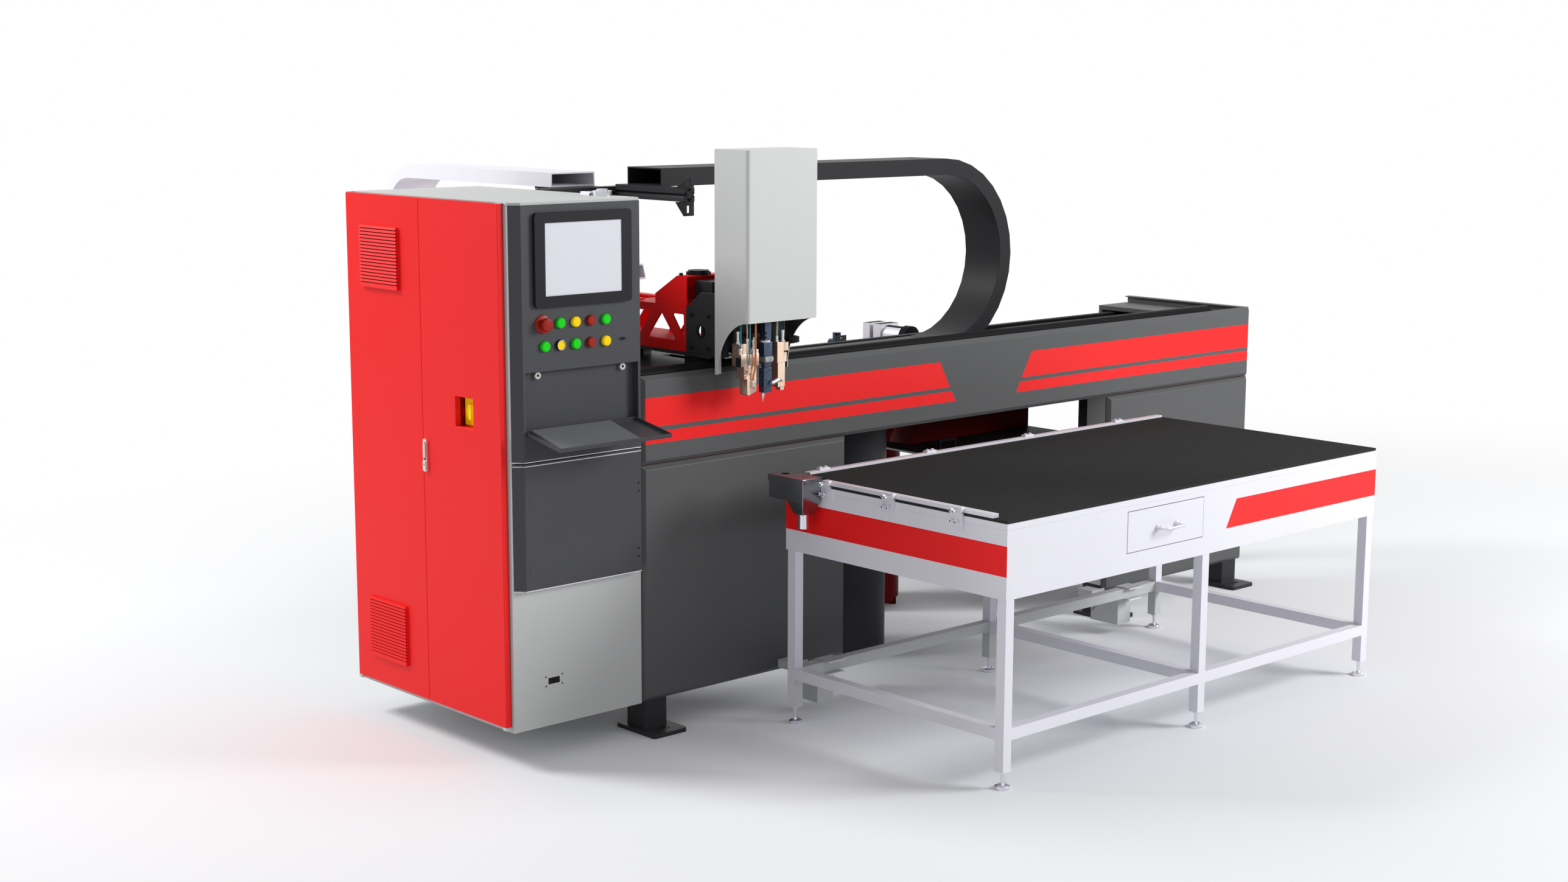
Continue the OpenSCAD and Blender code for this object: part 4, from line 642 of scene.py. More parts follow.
class GASKET_OT_beam(bpy.types.Operator):
    """Paints the bed, the beam's covers, the pedestals and the columns"""

    bl_idname = "gasket.beam"
    bl_label = "Beam and Pedestals"

    def execute(self, context):
        sizes = context.scene.gasket_sizes
        post_foot = BOXES["support_post"][0].z + 0.125
        dress("front_cover", "beam_paint", sizes.small_edge)
        dress("pedestal_panels", "machine_grey", sizes.edge)
        dress("machine_bed", "machine_grey", sizes.edge)
        dress("end_box", "machine_grey", sizes.edge)
        dress("floor_columns", "black_paint", sizes.tube_edge)
        dress("support_post", "cabinet_grey", sizes.tube_edge,
              [("black_paint", heights(high=post_foot))])
        dress("x_rails", "rail_black", sizes.small_edge)
        self.shades()
        return {"FINISHED"}

    def shades(self):
        """Strips painted in shade behind the joint between the beam's cover and the pedestal
        panels.
        """
        low, high = BOXES["pedestal_panels"]
        beam_foot = BOXES["front_cover"][0].z
        margin, run = 0.0055, 0.968
        form = Form("pedestal_shades", "machine_bed", "grey_paint", "painted_shade_red")
        for left in (low.x + margin, high.x - margin - run):
            form.block((left, low.y + 0.017, high.z - 0.0015),
                       (left + run, low.y + 0.019, beam_foot + 0.0012))
        form.done()


class GASKET_OT_cabinet(bpy.types.Operator):
    """Paints the control cabinet, its doors, vents, handle, isolator and service socket"""

    bl_idname = "gasket.cabinet"
    bl_label = "Control Cabinet"

    def execute(self, context):
        sizes = context.scene.gasket_sizes
        dress("cabinet_body", "cabinet_grey", sizes.edge)
        dress("cabinet_roof", "cabinet_grey", sizes.edge)
        dress("front_door", "door_red", sizes.edge,
              without=lambda at, facing: at.x < DOOR_FACE - 0.0004)
        dress("rear_door", "door_red", sizes.edge)
        self.vents(sizes)
        self.handle()
        self.shroud()
        self.socket()
        dress("switch_knob", "yellow", sizes.small_edge)
        dress("mounting_plate", "aluminium", sizes.small_edge,
              [("yellow", self.isolator_plate)])
        dress("roof_swivel", "polished", sizes.small_edge)
        return {"FINISHED"}

    def isolator_plate(self, at, facing):
        """Whether a face of the mounting plate belongs to the isolator."""
        inner, side, low, high = -2.2, -0.07, 1.12, 1.24
        return at.x < inner and at.y < side and low < at.z < high

    def socket(self):
        """A dark plug socket in its cut beside the cabinet's foot, with four screws."""
        form = Form("service_socket", "cabinet_body", "cabinet_grey", "black_plastic")
        corner = BOXES["cabinet_body"][0]
        x, face, z = corner.x + 0.191, corner.y, corner.z + 0.155
        half_width, half_height = 0.0235, 0.0105
        form.block((x - half_width, face + 0.001, z - half_height),
                   (x + half_width, face + 0.0125, z + half_height))
        for dx in (-0.034, 0.034):
            for dz in (-0.016, 0.016):
                form.disc((x + dx, face, z + dz), TO_FRONT, 0.0028, 0.0012, rim=0.0024, foot=-0.001)
        form.done()

    def vents(self, sizes):
        """Two louvred vents: sloping boards that stand out from a frame, over slits painted in
        shade.
        """
        boards, last_board, height = 17, 1.3, 0.214
        pitch = height / (boards + last_board)
        low, high = BOXES["door_vents"]
        face = high.x
        shoulder, lip, slit = face - 0.0095, face - 0.0125, face - 0.007
        form = Form("door_louvres", "door_vents", "vent_plastic", "door_red", "painted_shade_red")
        for bottom in (low.z, high.z - height):
            outline = [(face, bottom + height)]
            dark = []
            for i in range(boards):
                top = bottom + height - i * pitch
                foot = top - pitch + sizes.louvre_gap
                outline += [(shoulder, top), (lip, foot)]
                dark += [len(outline), len(outline) + 1]
                outline += [(slit, foot), (slit, foot - sizes.louvre_gap)]
            outline += [(shoulder, bottom + last_board * pitch), (lip, bottom + 0.003),
                        (lip + 0.001, bottom), (face, bottom)]
            faces = form.prism(outline, 1, low.y, high.y)
            # The slits' faces take the dark red that paints the shade under each board.
            for i in dark:
                faces[i + 2].material_index = form.looks.index("painted_shade_red")
        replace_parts(form.done(0), "door_vents")

    def handle(self):
        """A flush swing handle: bright frame, white grip in a dark arch, and a lock piece."""
        low, high = BOXES["swing_handle"]
        face, foot, top = high.x, low.z, high.z
        middle = low.y + 0.0125

        def pad(form, half, bottom, end, radius, front, back, look=None):
            form.prism(rounded((middle - half, bottom), (middle + half, end), radius), 0,
                       face - front, face - back, look)

        form = Form("handle_frame", "front_door", "door_red", "nickel", "black_plastic", "door_red")
        form.block((face, middle - 0.02, foot - 0.0085),
                   (face + 0.004, middle + 0.013, top + 0.0085), "door_red")
        pad(form, 0.0098, foot - 0.007, top + 0.007, 0.0088, 0.0072, -0.001)
        pad(form, 0.0067, foot + 0.037, top - 0.0035, 0.0066, 0.0075, 0, "black_plastic")
        form.block((face - 0.0078, middle - 0.008, foot + 0.0335),
                   (face, middle + 0.008, foot + 0.0385), "black_plastic")
        form.done(0.0012)
        form = Form("swing_lever", "swing_handle", "polished_steel", "nickel", "black_plastic")
        pad(form, 0.0052, foot + 0.0395, top - 0.006, 0.005, 0.0108, 0.0077)
        pad(form, 0.0074, foot - 0.003, foot + 0.033, 0.005, 0.0112, 0.0074)
        pad(form, 0.002, foot + 0.014, foot + 0.022, 0.0019, 0.0114, 0.011, "black_plastic")
        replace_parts(form.done(0.0012), "swing_handle")

    def shroud(self):
        """Three red walls round the isolator, seen through the window in the door."""
        form = Form("isolator_shroud", "mounting_plate", "plate_alu", "door_red")
        low, high = BOXES["switch_knob"]
        y, z = (low.y + high.y) / 2, (low.z + high.z) / 2
        half, wall, depth = 0.0512, 0.0014, 0.088
        front, back = low.x + 0.0005, low.x + 0.0005 + depth
        left, right = y + half, y - 0.0525
        bottom, top = z - half, z + half
        form.block((front, left, bottom - wall), (back, left + wall, top + wall))
        form.block((front, right, bottom - wall), (back, left, bottom))
        form.block((front, right, top), (back, left, top + wall))
        form.done()


class GASKET_OT_controls(bpy.types.Operator):
    """Paints the control covers and finishes the touch screen and the buttons"""

    bl_idname = "gasket.controls"
    bl_label = "Operating Panel"

    def execute(self, context):
        sizes = context.scene.gasket_sizes
        cover_foot = BOXES["lower_cover"][0].z + 0.0035
        dress("upper_cover", "cover_grey", 0, without=self.bezel_or_latch)
        self.collars()
        dress("lower_cover", "cover_grey", sizes.edge,
              [("trim", heights(high=cover_foot))])
        self.trims()
        dress("touch_screen", "screen_frame", sizes.edge,
              [("screen_face", self.glass)])
        for look, names in BUTTONS.items():
            for name in names:
                self.button(name, look)
        self.emergency_stop()
        return {"FINISHED"}

    def bezel_or_latch(self, at, facing):
        """Whether a face is a plain bezel or latch, which collars builds with more detail."""
        bezel = at.y < PANEL_FRONT - 0.0002 and at.z > 1.38
        latch = at.y < RECESS - 0.0001 and abs(at.z - LATCH_HEIGHT) < 0.015
        return bezel or latch

    def glass(self, at, facing):
        """Whether a face of the touch screen is its glass."""
        low, high = BOXES["touch_screen"]
        return at.y > low.y + 0.002 and facing.y < -0.9 and low.z + 0.021 < at.z < high.z - 0.027

    def trims(self):
        """Bright lines round the joint of the covers and along the foot, and small plugs."""
        form = Form("cover_trims", "lower_cover", "panel_grey", "trim", "black_plastic")
        low, high = BOXES["lower_cover"]
        left, right, chamfer = low.x - 0.0004, high.x + 0.0004, 0.0303
        front, back = PANEL_FRONT - 0.0003, high.y - 0.0005
        outline = [(right, back), (right, front), (left + chamfer, front), (left, front + chamfer),
                   (left, back)]
        for z in (low.z + 0.0002, high.z - 0.0157, high.z - 0.0028):
            form.prism(outline, 2, z, z + 0.0028)
        for x, lowest, pitch, radius in ((high.x - 0.0145, 0.6542, 0.029, 0.0042),
                                         (high.x - 0.012, 0.8831, 0.0275, 0.0042),
                                         (low.x + 0.0501, 0.892, 0.010, 0.0018),
                                         (low.x + 0.046, 0.667, 0.010, 0.0018)):
            for z in (lowest, lowest + pitch):
                form.disc((x, PANEL_FRONT, z), TO_FRONT, radius, 0.0004, "black_plastic",
                          rim=radius * 0.9)
        form.done()

    def middle(self, node):
        """The middle of a button on the panel's front."""
        low, high = BOXES[node]
        return ((low.x + high.x) / 2, PANEL_FRONT, (low.z + high.z) / 2)

    def button(self, name, look):
        """A round cap on its stem. The lamp's cap lies lower in its ring."""
        top = 0.0088 if name == "light" else 0.0129
        stem, cap = 0.011, 0.015
        form = Form(name + "_cap", name + "_button", SLOT_OF.get(look, look + "_plastic"), look)
        form.turned([(0, -0.02), (stem, -0.02), (stem, 0.006), (cap, 0.006), (cap, top - 0.0012),
                     (cap - 0.0009, top), (0, top)], self.middle(name + "_button"), TO_FRONT)
        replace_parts(form.done(), name + "_button")

    def collars(self):
        """Bezels of the buttons, the stop's plate, two latches, a small socket and holes."""
        form = Form("panel_fittings", "upper_cover", "panel_grey", "green", "yellow", "dark_red",
                    "black_plastic", "latch", "polished", "cover_grey")
        bore, wall, flange = 0.0153, 0.0172, 0.0181
        for look, names in BUTTONS.items():
            for name in names:
                side, rim = ("black_plastic", "polished") if name == "light" else (look, look)
                form.turned([(bore, 0, "black_plastic"), (flange, 0), (flange, 0.001),
                             (wall, 0.0012, side), (wall, 0.0098), (0.0165, 0.0112, rim),
                             (bore, 0.0112), (bore, 0)],
                            self.middle(name + "_button"), TO_FRONT, 48)
        form.turned([(bore, 0, "dark_red"), (0.0315, 0), (0.0315, 0.003), (0.0295, 0.0052),
                     (bore, 0.008), (bore, 0)], self.middle("emergency_stop"), TO_FRONT, 64)
        low, high = BOXES["upper_cover"]
        left, right = low.x + 0.092, high.x - 0.0725
        for x, third_hole in ((left, 0.0135), (right, -0.0075)):
            form.turned([(0, 0, "latch"), (0.0125, 0), (0.0125, 0.0098), (0.0115, 0.0113),
                         (0.0048, 0.0113), (0.0042, 0.0105, "black_plastic"), (0.004, 0.004),
                         (0, 0.004)], (x + 0.0095, RECESS, LATCH_HEIGHT + 0.0065), TO_FRONT, 48)
            form.disc((x, RECESS - 0.0002, LATCH_HEIGHT), TO_FRONT, 0.0145, 0.0004, "cover_grey",
                      segments=32)
            for dx, dz in ((-0.0045, 0.0305), (0.0045, 0.0305), (third_hole, 0.0555)):
                form.disc((x + dx, PANEL_FRONT, LATCH_HEIGHT + dz), TO_FRONT, 0.0012, 0.0002,
                          "black_plastic", rim=0.0011, segments=12)
        x, z = right - 0.004, LATCH_HEIGHT + 0.104
        for dx in (-0.017, 0.017):
            form.disc((x + dx, PANEL_FRONT, z), TO_FRONT, 0.0022, 0.0002, "black_plastic",
                      rim=0.002)
        form.block((x - 0.0106, PANEL_FRONT + 0.0009, z - 0.0046),
                   (x + 0.0106, PANEL_FRONT + 0.004, z + 0.0046), "black_plastic")
        form.done()

    def emergency_stop(self):
        """A mushroom head on a waisted neck, with a ring let into its face."""
        form = Form("stop_mushroom", "emergency_stop", "red_plastic", "dark_red")
        form.turned([(0, -0.02), (0.011, -0.02), (0.011, 0.0064), (0.0145, 0.0066), (0.0145, 0.011),
                     (0.0128, 0.0125), (0.0128, 0.0142), (0.0165, 0.0155), (0.021, 0.018),
                     (0.0222, 0.021), (0.0222, 0.0265), (0.0212, 0.0305), (0.0188, 0.0326),
                     (0.0152, 0.0332), (0.0148, 0.0325), (0.0132, 0.0326), (0.0128, 0.0334),
                     (0.006, 0.0339), (0, 0.034)], self.middle("emergency_stop"), TO_FRONT, 64)
        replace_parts(form.done(), "emergency_stop")


class GASKET_OT_keyboard(bpy.types.Operator):
    """Paints the folding tray and its keyboard"""

    bl_idname = "gasket.keyboard"
    bl_label = "Keyboard Tray"

    def execute(self, context):
        sizes = context.scene.gasket_sizes
        dress("keyboard_tray", "cover_grey", sizes.small_edge)
        dress("keyboard", "keys", sizes.edge)
        return {"FINISHED"}


class GASKET_OT_arm(bpy.types.Operator):
    """Paints the carriage, the truss arm, its base, bracket and motor hood"""

    bl_idname = "gasket.arm"
    bl_label = "Carriage and Arm"

    def execute(self, context):
        sizes = context.scene.gasket_sizes
        lid = BOXES["motor_hood"][1].z - 0.0158
        dress("x_carriage", "black_paint", sizes.edge)
        dress("chain_support", "black_paint", sizes.small_edge)
        dress("truss_arm", "truss_red", sizes.small_edge,
              [("black_paint", self.truss_floor)])
        dress("arm_base", "black_paint", sizes.small_edge)
        dress("end_bracket", "black_paint", sizes.edge)
        dress("motor_hood", "truss_red", sizes.small_edge,
              [("bracket_black", heights(low=lid))])
        self.bolts()
        return {"FINISHED"}

    def truss_floor(self, at, facing):
        """Whether a face lies low between the truss's two sides."""
        low, high = BOXES["truss_arm"]
        middle = (low.x + high.x) / 2
        return low.z + 0.004 < at.z < low.z + 0.0275 and abs(at.x - middle) < 0.05

    def bolts(self):
        """Cap screws that hold the end bracket, the truss and the motor hood."""
        form = Form("arm_screws", "end_bracket", "black_paint", "bracket_black", "black_plastic",
                    "steel")
        low, high = BOXES["end_bracket"]
        for x, along in ((low.x, TO_LEFT), (high.x, (1, 0, 0))):
            for dy, dz in ((0.186, 0.137), (0.187, 0.020), (0.092, 0.137), (0.093, 0.021)):
                form.screw((x, low.y + dy, low.z + dz), along, 0.0075, 0.005)
        underside, first, pitch = BOXES["arm_base"][0].z, -0.06, 0.13
        for x in (low.x + 0.02, high.x - 0.02):
            for i in range(11):
                form.screw((x, first + i * pitch, underside), DOWN, 0.0055, 0.004)
        hood, hood_top = BOXES["motor_hood"]
        for dx, dy in ((0.09, 0.05), (0.09, 0.016), (0.054, 0.05)):
            form.turned([(0, 0, "steel"), (0.004, 0), (0.004, 0.003), (0, 0.0034)],
                        (hood.x + dx, hood.y + dy, hood_top.z - 0.0001), UP, 20)
        form.done()


class GASKET_OT_head(bpy.types.Operator):
    """Finishes the head's cover, its slide, the mixing chamber and the metering valves"""

    bl_idname = "gasket.head"
    bl_label = "Mixing Head"

    def execute(self, context):
        sizes = context.scene.gasket_sizes
        small = sizes.small_edge
        dress("head_cover", "cover_white", sizes.edge,
              # The cover's inner faces get painted shade
              [("inside_shade_grey", self.shaded_inside)])
        self.flange()
        dress("z_slide", "bracket_black", small)
        back_plate, nozzle_top = -0.4525, 1.1895
        clamp_foot, clamp_top = 1.2975, 1.3175
        ring_foot, ring_top = 1.3665, 1.3745
        dress("mixing_head", "blued", small,
              [("bracket_black", lambda at, facing: at.y > back_plate),
               ("clamp_grey",
                lambda at, facing: clamp_foot < at.z < clamp_top and at.y < back_plate),
               ("steel", heights(high=nozzle_top)),
               ("table_white", heights(ring_foot, ring_top))])
        # Every face that does not face the front gets the darker bronze as painted shade.
        sides = ("bronze_side_shade", lambda at, facing: facing.y > -0.5)
        self.seams()
        dress("left_valve", "copper", small,
              [sides, ("nickel", self.left_fittings)])
        dress("right_valve", "copper", small,
              [sides, ("nickel", self.right_fittings), ("black_plastic", self.right_plug)])
        dress("mixer_shaft", "steel", small)
        self.fittings()
        self.hoses(sizes)
        return {"FINISHED"}

    def shaded_inside(self, at, facing):
        """Whether a face of the head's cover is on its inside, where a dark grey paints the shade.
        """
        low, high = BOXES["head_cover"]
        left = facing.x > 0.5 and at.x < low.x + 0.0465
        right = facing.x < -0.5 and at.x > high.x - 0.0445
        front = facing.y > 0.5 and at.y < low.y + 0.0105
        roof = facing.z < -0.5 and at.z > high.z - 0.036
        return left or right or front or roof

    def left_fittings(self, at, facing):
        """Whether a face of the left valve belongs to its bright fittings."""
        feed_foot, air_foot, air_side = 1.3685, 1.333, -1.394
        return at.z > feed_foot or at.z > air_foot and at.x > air_side

    def right_fittings(self, at, facing):
        """Whether a face of the right valve belongs to its bright fittings."""
        feed_foot, front = 1.3635, -0.5005
        return at.z > feed_foot or at.y < front

    def right_plug(self, at, facing):
        """Whether a face belongs to the black plug at the right valve's side."""
        inner, foot = -1.205, 1.351
        return at.x > inner and at.z > foot

    def flange(self):
        """The flange along the cover's open left edge."""
        low, high = BOXES["head_cover"]
        form = Form("cover_flange", "head_cover", "cover_white", "cover_white")
        form.block((low.x + 0.0002, high.y - 0.0027, low.z + 0.0005),
                   (low.x + 0.027, high.y - 0.0004, high.z - 0.036))
        form.done()

    def seams(self):
        """Dark joints and plates on the valves' sides, and the angled feed fitting."""
        form = Form("valve_seams", "mixing_head", "copper_block", "bracket_black", "bronze_side_shade",
                    "polished", "nickel")
        low, high = BOXES["left_valve"]
        face, seam = low.x, 1.3217
        form.block((face - 0.0007, low.y + 0.001, 1.289), (face + 0.0003, -0.4725, 1.3205))
        form.block((face - 0.0004, low.y + 0.0005, seam), (high.x - 0.0005, -0.4535, 1.3223))
        # Plates on the valve's side, in the darker bronze that paints the shade there.
        for y, z in ((-0.466, 1.352), (-0.490, 1.360)):
            form.turned([(0, 0, "bronze_side_shade"), (0.0065, 0), (0.0065, 0.001), (0.005, 0.0016),
                         (0, 0.0016)], (face, y, z), TO_LEFT, 24)
        for y, z in ((-0.4605, 1.268), (-0.4935, 1.2495), (-0.4605, 1.252)):
            form.disc((face + 0.014, y, z), TO_LEFT, 0.0022, 0.0006, rim=0.002)
        form.turned([(0, 0, "nickel"), (0.0062, 0), (0.0062, 0.004), (0.0078, 0.0045),
                     (0.0078, 0.011), (0.007, 0.0115, "polished"), (0.007, 0.0145),
                     (0.0084, 0.015, "nickel"), (0.0084, 0.034), (0.0072, 0.036), (0, 0.036)],
                    (-1.3005, -0.511, 1.2235), (0.955, 0.03, 0.295), 32)
        form.done()

    def fittings(self):
        """Screws, hose fittings, the sensor bracket and the hose manifold of the head."""
        form = Form("head_fittings", "mixing_head", "steel", "nickel", "black_plastic", "copper",
                    "bracket_black")
        chamber, blocks = BOXES["mixing_head"][0].y, BOXES["left_valve"][0].y
        for x in (-1.3165, -1.2905):
            form.screw((x, chamber, 1.3075), TO_FRONT, 0.0042, 0.003)
        for x, z in ((-1.3185, 1.3225), (-1.3065, 1.3325), (-1.2945, 1.3215), (-1.306, 1.354),
                     (-1.3065, 1.269), (-1.2945, 1.269)):
            form.disc((x, blocks, z), TO_FRONT, 0.0021, 0.0006, "black_plastic", 0.0019, -0.0001)
        for z in (1.380, 1.396):
            form.block((-1.3214, -0.5004, z), (-1.3125, -0.4985, z + 0.0085), "black_plastic")
        for x, z in ((-1.392, 1.263), (-1.375, 1.2135), (-1.4125, 1.2555)):
            form.turned([(0, -0.0001, "copper"), (0.0042, -0.0001), (0.0042, 0.001),
                         (0.0034, 0.0014), (0.0028, 0.0008, "black_plastic"), (0, 0.0008)],
                        (x, blocks + 0.0008, z), TO_FRONT, 20)
        nut = [(0, 0), (0.0046, 0), (0.0046, 0.006), (0.0036, 0.0066), (0.0036, 0.012),
               (0.0042, 0.0126), (0.0042, 0.019), (0.0032, 0.0215),
               (0.0027, 0.0215, "black_plastic")]
        for (x, y), z, end, elbow in ((LEFT_AIR, 1.332, 0.024, False),
                                      (FRONT_AIR, 1.272, 0.022, True),
                                      (PIPE_FOOT, 1.218, 0.024, True)):
            form.turned([*nut, (0.0027, end), (0, end)], (x, y, z), UP, 24)
            if elbow:
                form.disc((x, y, z + 0.005), TO_BACK, 0.0032, 0.008)
        form.turned([(0, 0), (0.003, 0), (0.003, 0.009), (0.0022, 0.010), (0, 0.010)],
                    (-1.361, -0.485, 1.379), UP, 20)
        form.block((-1.3768, -0.4965, 1.3895), (-1.3425, -0.4525, 1.4005), "black_plastic")
        form.turned([(0, 0, "black_plastic"), (0.0135, 0), (0.0135, 0.004), (0.0122, 0.005),
                     (0, 0.005)], (-1.3575, -0.481, 1.4003), UP, 40)
        for z, along in ((1.376, UP), (1.3558, DOWN)):
            form.disc((-1.1705, -0.478, z), along, 0.0175, 0.0022, "black_plastic", 0.0165,
                      segments=40)
        form.block((-1.4405, -0.5155, MANIFOLD), (-1.2205, -0.4515, MANIFOLD + 0.02),
                   "bracket_black")
        form.done(0.0005)

    def hoses(self, sizes):
        """Air and feed hoses from the valves up to the manifold, and one bent copper pipe."""
        top = MANIFOLD + 0.0003
        routes = (
            ("left_air_hose", "air_hose", sizes.air_hose,
             [(*LEFT_AIR, 1.3562), (-1.429, -0.4945, 1.42), (-1.4278, -0.4965, 1.50),
              (-1.4285, -0.495, 1.56), (-1.4285, -0.494, top)]),
            ("front_air_hose", "air_hose", sizes.air_hose,
             [(*FRONT_AIR, 1.2942), (-1.3982, -0.506, 1.34), (-1.3975, -0.507, 1.42),
              (-1.3985, -0.506, 1.52), (-1.398, -0.504, top)]),
            ("left_feed_hose", "feed_hose", sizes.feed_hose,
             [(-1.383, -0.476, 1.3842), (-1.3835, -0.4762, 1.42), (-1.386, -0.475, 1.47),
              (-1.388, -0.474, 1.53), (-1.388, -0.474, top)]),
            ("right_feed_hose", "feed_hose", sizes.feed_hose,
             [(-1.2485, -0.480, 1.3842), (-1.2478, -0.480, 1.41), (-1.2445, -0.479, 1.45),
              (-1.2415, -0.478, 1.51), (-1.2412, -0.478, top)]),
            ("right_air_hose", "air_hose", sizes.air_hose,
             [(-1.2295, -0.466, 1.3612), (-1.2295, -0.466, 1.40), (-1.229, -0.467, 1.47),
              (-1.2295, -0.468, 1.54), (-1.2295, -0.468, top)]))
        for name, look, diameter, corners in routes:
            hose(name, corners, diameter, look, "mixing_head")
        pipe = [(*PIPE_FOOT, 1.2415), (-1.3808, -0.506, 1.256), (-1.3765, -0.508, 1.275),
                (-1.3735, -0.5085, 1.30), (-1.373, -0.5085, 1.36), (-1.373, -0.508, 1.45),
                (-1.373, -0.506, 1.54), (-1.373, -0.506, top)]
        hose("bent_copper_pipe", pipe, 0.0075, "copper_pipe", "mixing_head")


class GASKET_OT_chains(bpy.types.Operator):
    """Paints both cable chains' guides and loops, and cuts their upper runs into sections"""

    bl_idname = "gasket.chains"
    bl_label = "Cable Chains"

    def execute(self, context):
        sizes = context.scene.gasket_sizes
        bracket_top = 1.5545
        dress("x_chain_guide", "chain_black", sizes.edge)
        dress("x_chain_loop", "chain_black", sizes.edge)
        dress("y_chain_guide", "chain_white", sizes.edge,
              [("truss_red", heights(high=bracket_top))])
        dress("y_chain_loop", "chain_white", sizes.edge)
        self.top_run("x_chain_top", "chain_black", "black_chain", "x_chain_loop",
                     start=(-1.3995, 0, 0), end=(0.2155, 0, 0))
        self.top_run("y_chain_top", "chain_white", "white_chain", "y_chain_loop",
                     start=(0, 0.3595, 0), end=(0, 1.3105, 0))
        return {"FINISHED"}

    def top_run(self, node, name, slot, far_body, start, end):
        """Cuts the upper run into sections along its length and gives it its finish."""
        mesh, bm = welded(node)
        axis = 0 if start[0] else 1
        low, high = BOXES[node]
        sections = 40
        for i in range(1, sections):
            at = Vector((0, 0, 0))
            at[axis] = low[axis] + (high[axis] - low[axis]) * i / sections
            normal = Vector((axis == 0, axis == 1, 0))
            bmesh.ops.bisect_plane(bm, geom=bm.verts[:] + bm.edges[:] + bm.faces[:],
                                   plane_co=at, plane_no=normal)
        for face in bm.faces:
            face.smooth = False
        bm.to_mesh(mesh)
        bm.free()
        mesh.materials.append(finish(name))
        piece = link(node + "_run", mesh)
        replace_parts(piece, node)
        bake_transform(piece)


class GASKET_OT_table(bpy.types.Operator):
    """Finishes the table, its felt, drawer, feet, guide bars, clamps and purge box"""

    bl_idname = "gasket.table"
    bl_label = "Loading Table"

    def execute(self, context):
        sizes = context.scene.gasket_sizes
        rear_rail, rail_top = -0.6205, 0.2095
        drawer_front = BOXES["table_frame"][0].y - 0.001
        nut_foot, nut_top, collar = 0.0165, 0.032, 0.7895
        dress("table_frame", "table_paint", 0,
              [("cabinet_grey", lambda at, facing: at.z < rail_top and at.y > rear_rail)])
        dress("table_top", "table_white", 0)
        dress("felt_pad", "felt", sizes.edge)
        dress("drawer", "table_white", sizes.small_edge,
              without=lambda at, facing: at.y < drawer_front - 0.0002)
        self.drawer_handle(drawer_front)
        dress("levelling_feet", "steel", sizes.small_edge,
              [("black_plastic", heights(nut_foot, nut_top))])
        dress("guide_bars", "pale_alu", sizes.small_edge)
        self.clamps()
        dress("purge_box", "dark_steel", sizes.edge, [("polished", heights(high=collar))])
        return {"FINISHED"}

    def drawer_handle(self, face):
        """A bow handle: two turned feet with collars and one bent rod."""
        left, right, z = -0.5015, -0.3985, 0.767
        form = Form("drawer_feet", "drawer", "steel", "polished")
        for x in (left, right):
            form.turned([(0, -0.0002), (0.0122, -0.0002), (0.0122, 0.005), (0.0112, 0.0062),
                         (0.0075, 0.0062), (0.0075, 0.0085), (0.0088, 0.0095), (0.0088, 0.0205),
                         (0.0078, 0.0215), (0.0052, 0.0215), (0.0052, 0.025), (0, 0.025)],
                        (x, face, z), TO_FRONT, 40)
        form.done()
        bend = 0.011
        foot, out = face - 0.0245, face - 0.039
        corners = [(left, foot, z), (left, out + bend, z),
                   (left + bend * 0.3, out + bend * 0.3, z), (left + bend, out, z),
                   (left / 2 + right / 2, out, z), (right - bend, out, z),
                   (right - bend * 0.3, out + bend * 0.3, z), (right, out + bend, z),
                   (right, foot, z)]
        hose("drawer_bow", corners, 0.0094, "polished", "drawer")

    def clamps(self):
        """Clamp plates with their cap screws, one of them long, on the side and at the back."""
        form = Form("clamp_plates", "guide_clamps", "plate_alu", "pale_alu", "clamp_grey")
        low, high = BOXES["guide_clamps"]
        side, back = BOXES["table_frame"][0].x - 0.0003, BOXES["table_top"][1].y
        face, top, shank = low.x, high.z, 0.0095
        for y in (low.y, -1.0945, -0.7845):
            form.prism(rounded((y, low.z), (y + 0.056, top - 0.0125), 0.005), 0, face, side)
            form.block((face - 0.004, y, top - 0.021), (side + 0.0022, y + 0.011, top))
            for dy, drop, reach in ((0.044, 0.013, 0.006), (0.022, 0.0145, 0.018),
                                    (0.044, 0.050, 0.006), (0.019, 0.050, 0.009)):
                z = top - drop
                form.disc((face + shank, y + dy, z), TO_LEFT, 0.0036, reach + shank, segments=20)
                form.screw((face - reach + 0.0005, y + dy, z), TO_LEFT, 0.0066, 0.007,
                           "clamp_grey")
        first, pitch, width = -1.1195, 0.55, 0.05
        foot, bar_top, outside = 0.852, 0.906, back + 0.008
        for x in (first + i * pitch for i in range(4)):
            form.block((x, back + 0.0003, foot), (x + width, outside, 0.890))
            form.block((x, outside - 0.0027, foot), (x + width, outside, bar_top))
            form.block((x, back - 0.014, bar_top - 0.0057), (x + width, outside, bar_top))
            for dx in (0.012, 0.038):
                form.screw((x + dx, outside, foot + 0.016), TO_BACK, 0.0062, 0.006, "clamp_grey")
                form.screw((x + dx, back - 0.003, bar_top), UP, 0.0055, 0.005, "clamp_grey")
        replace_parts(form.done(0.0005), "guide_clamps")


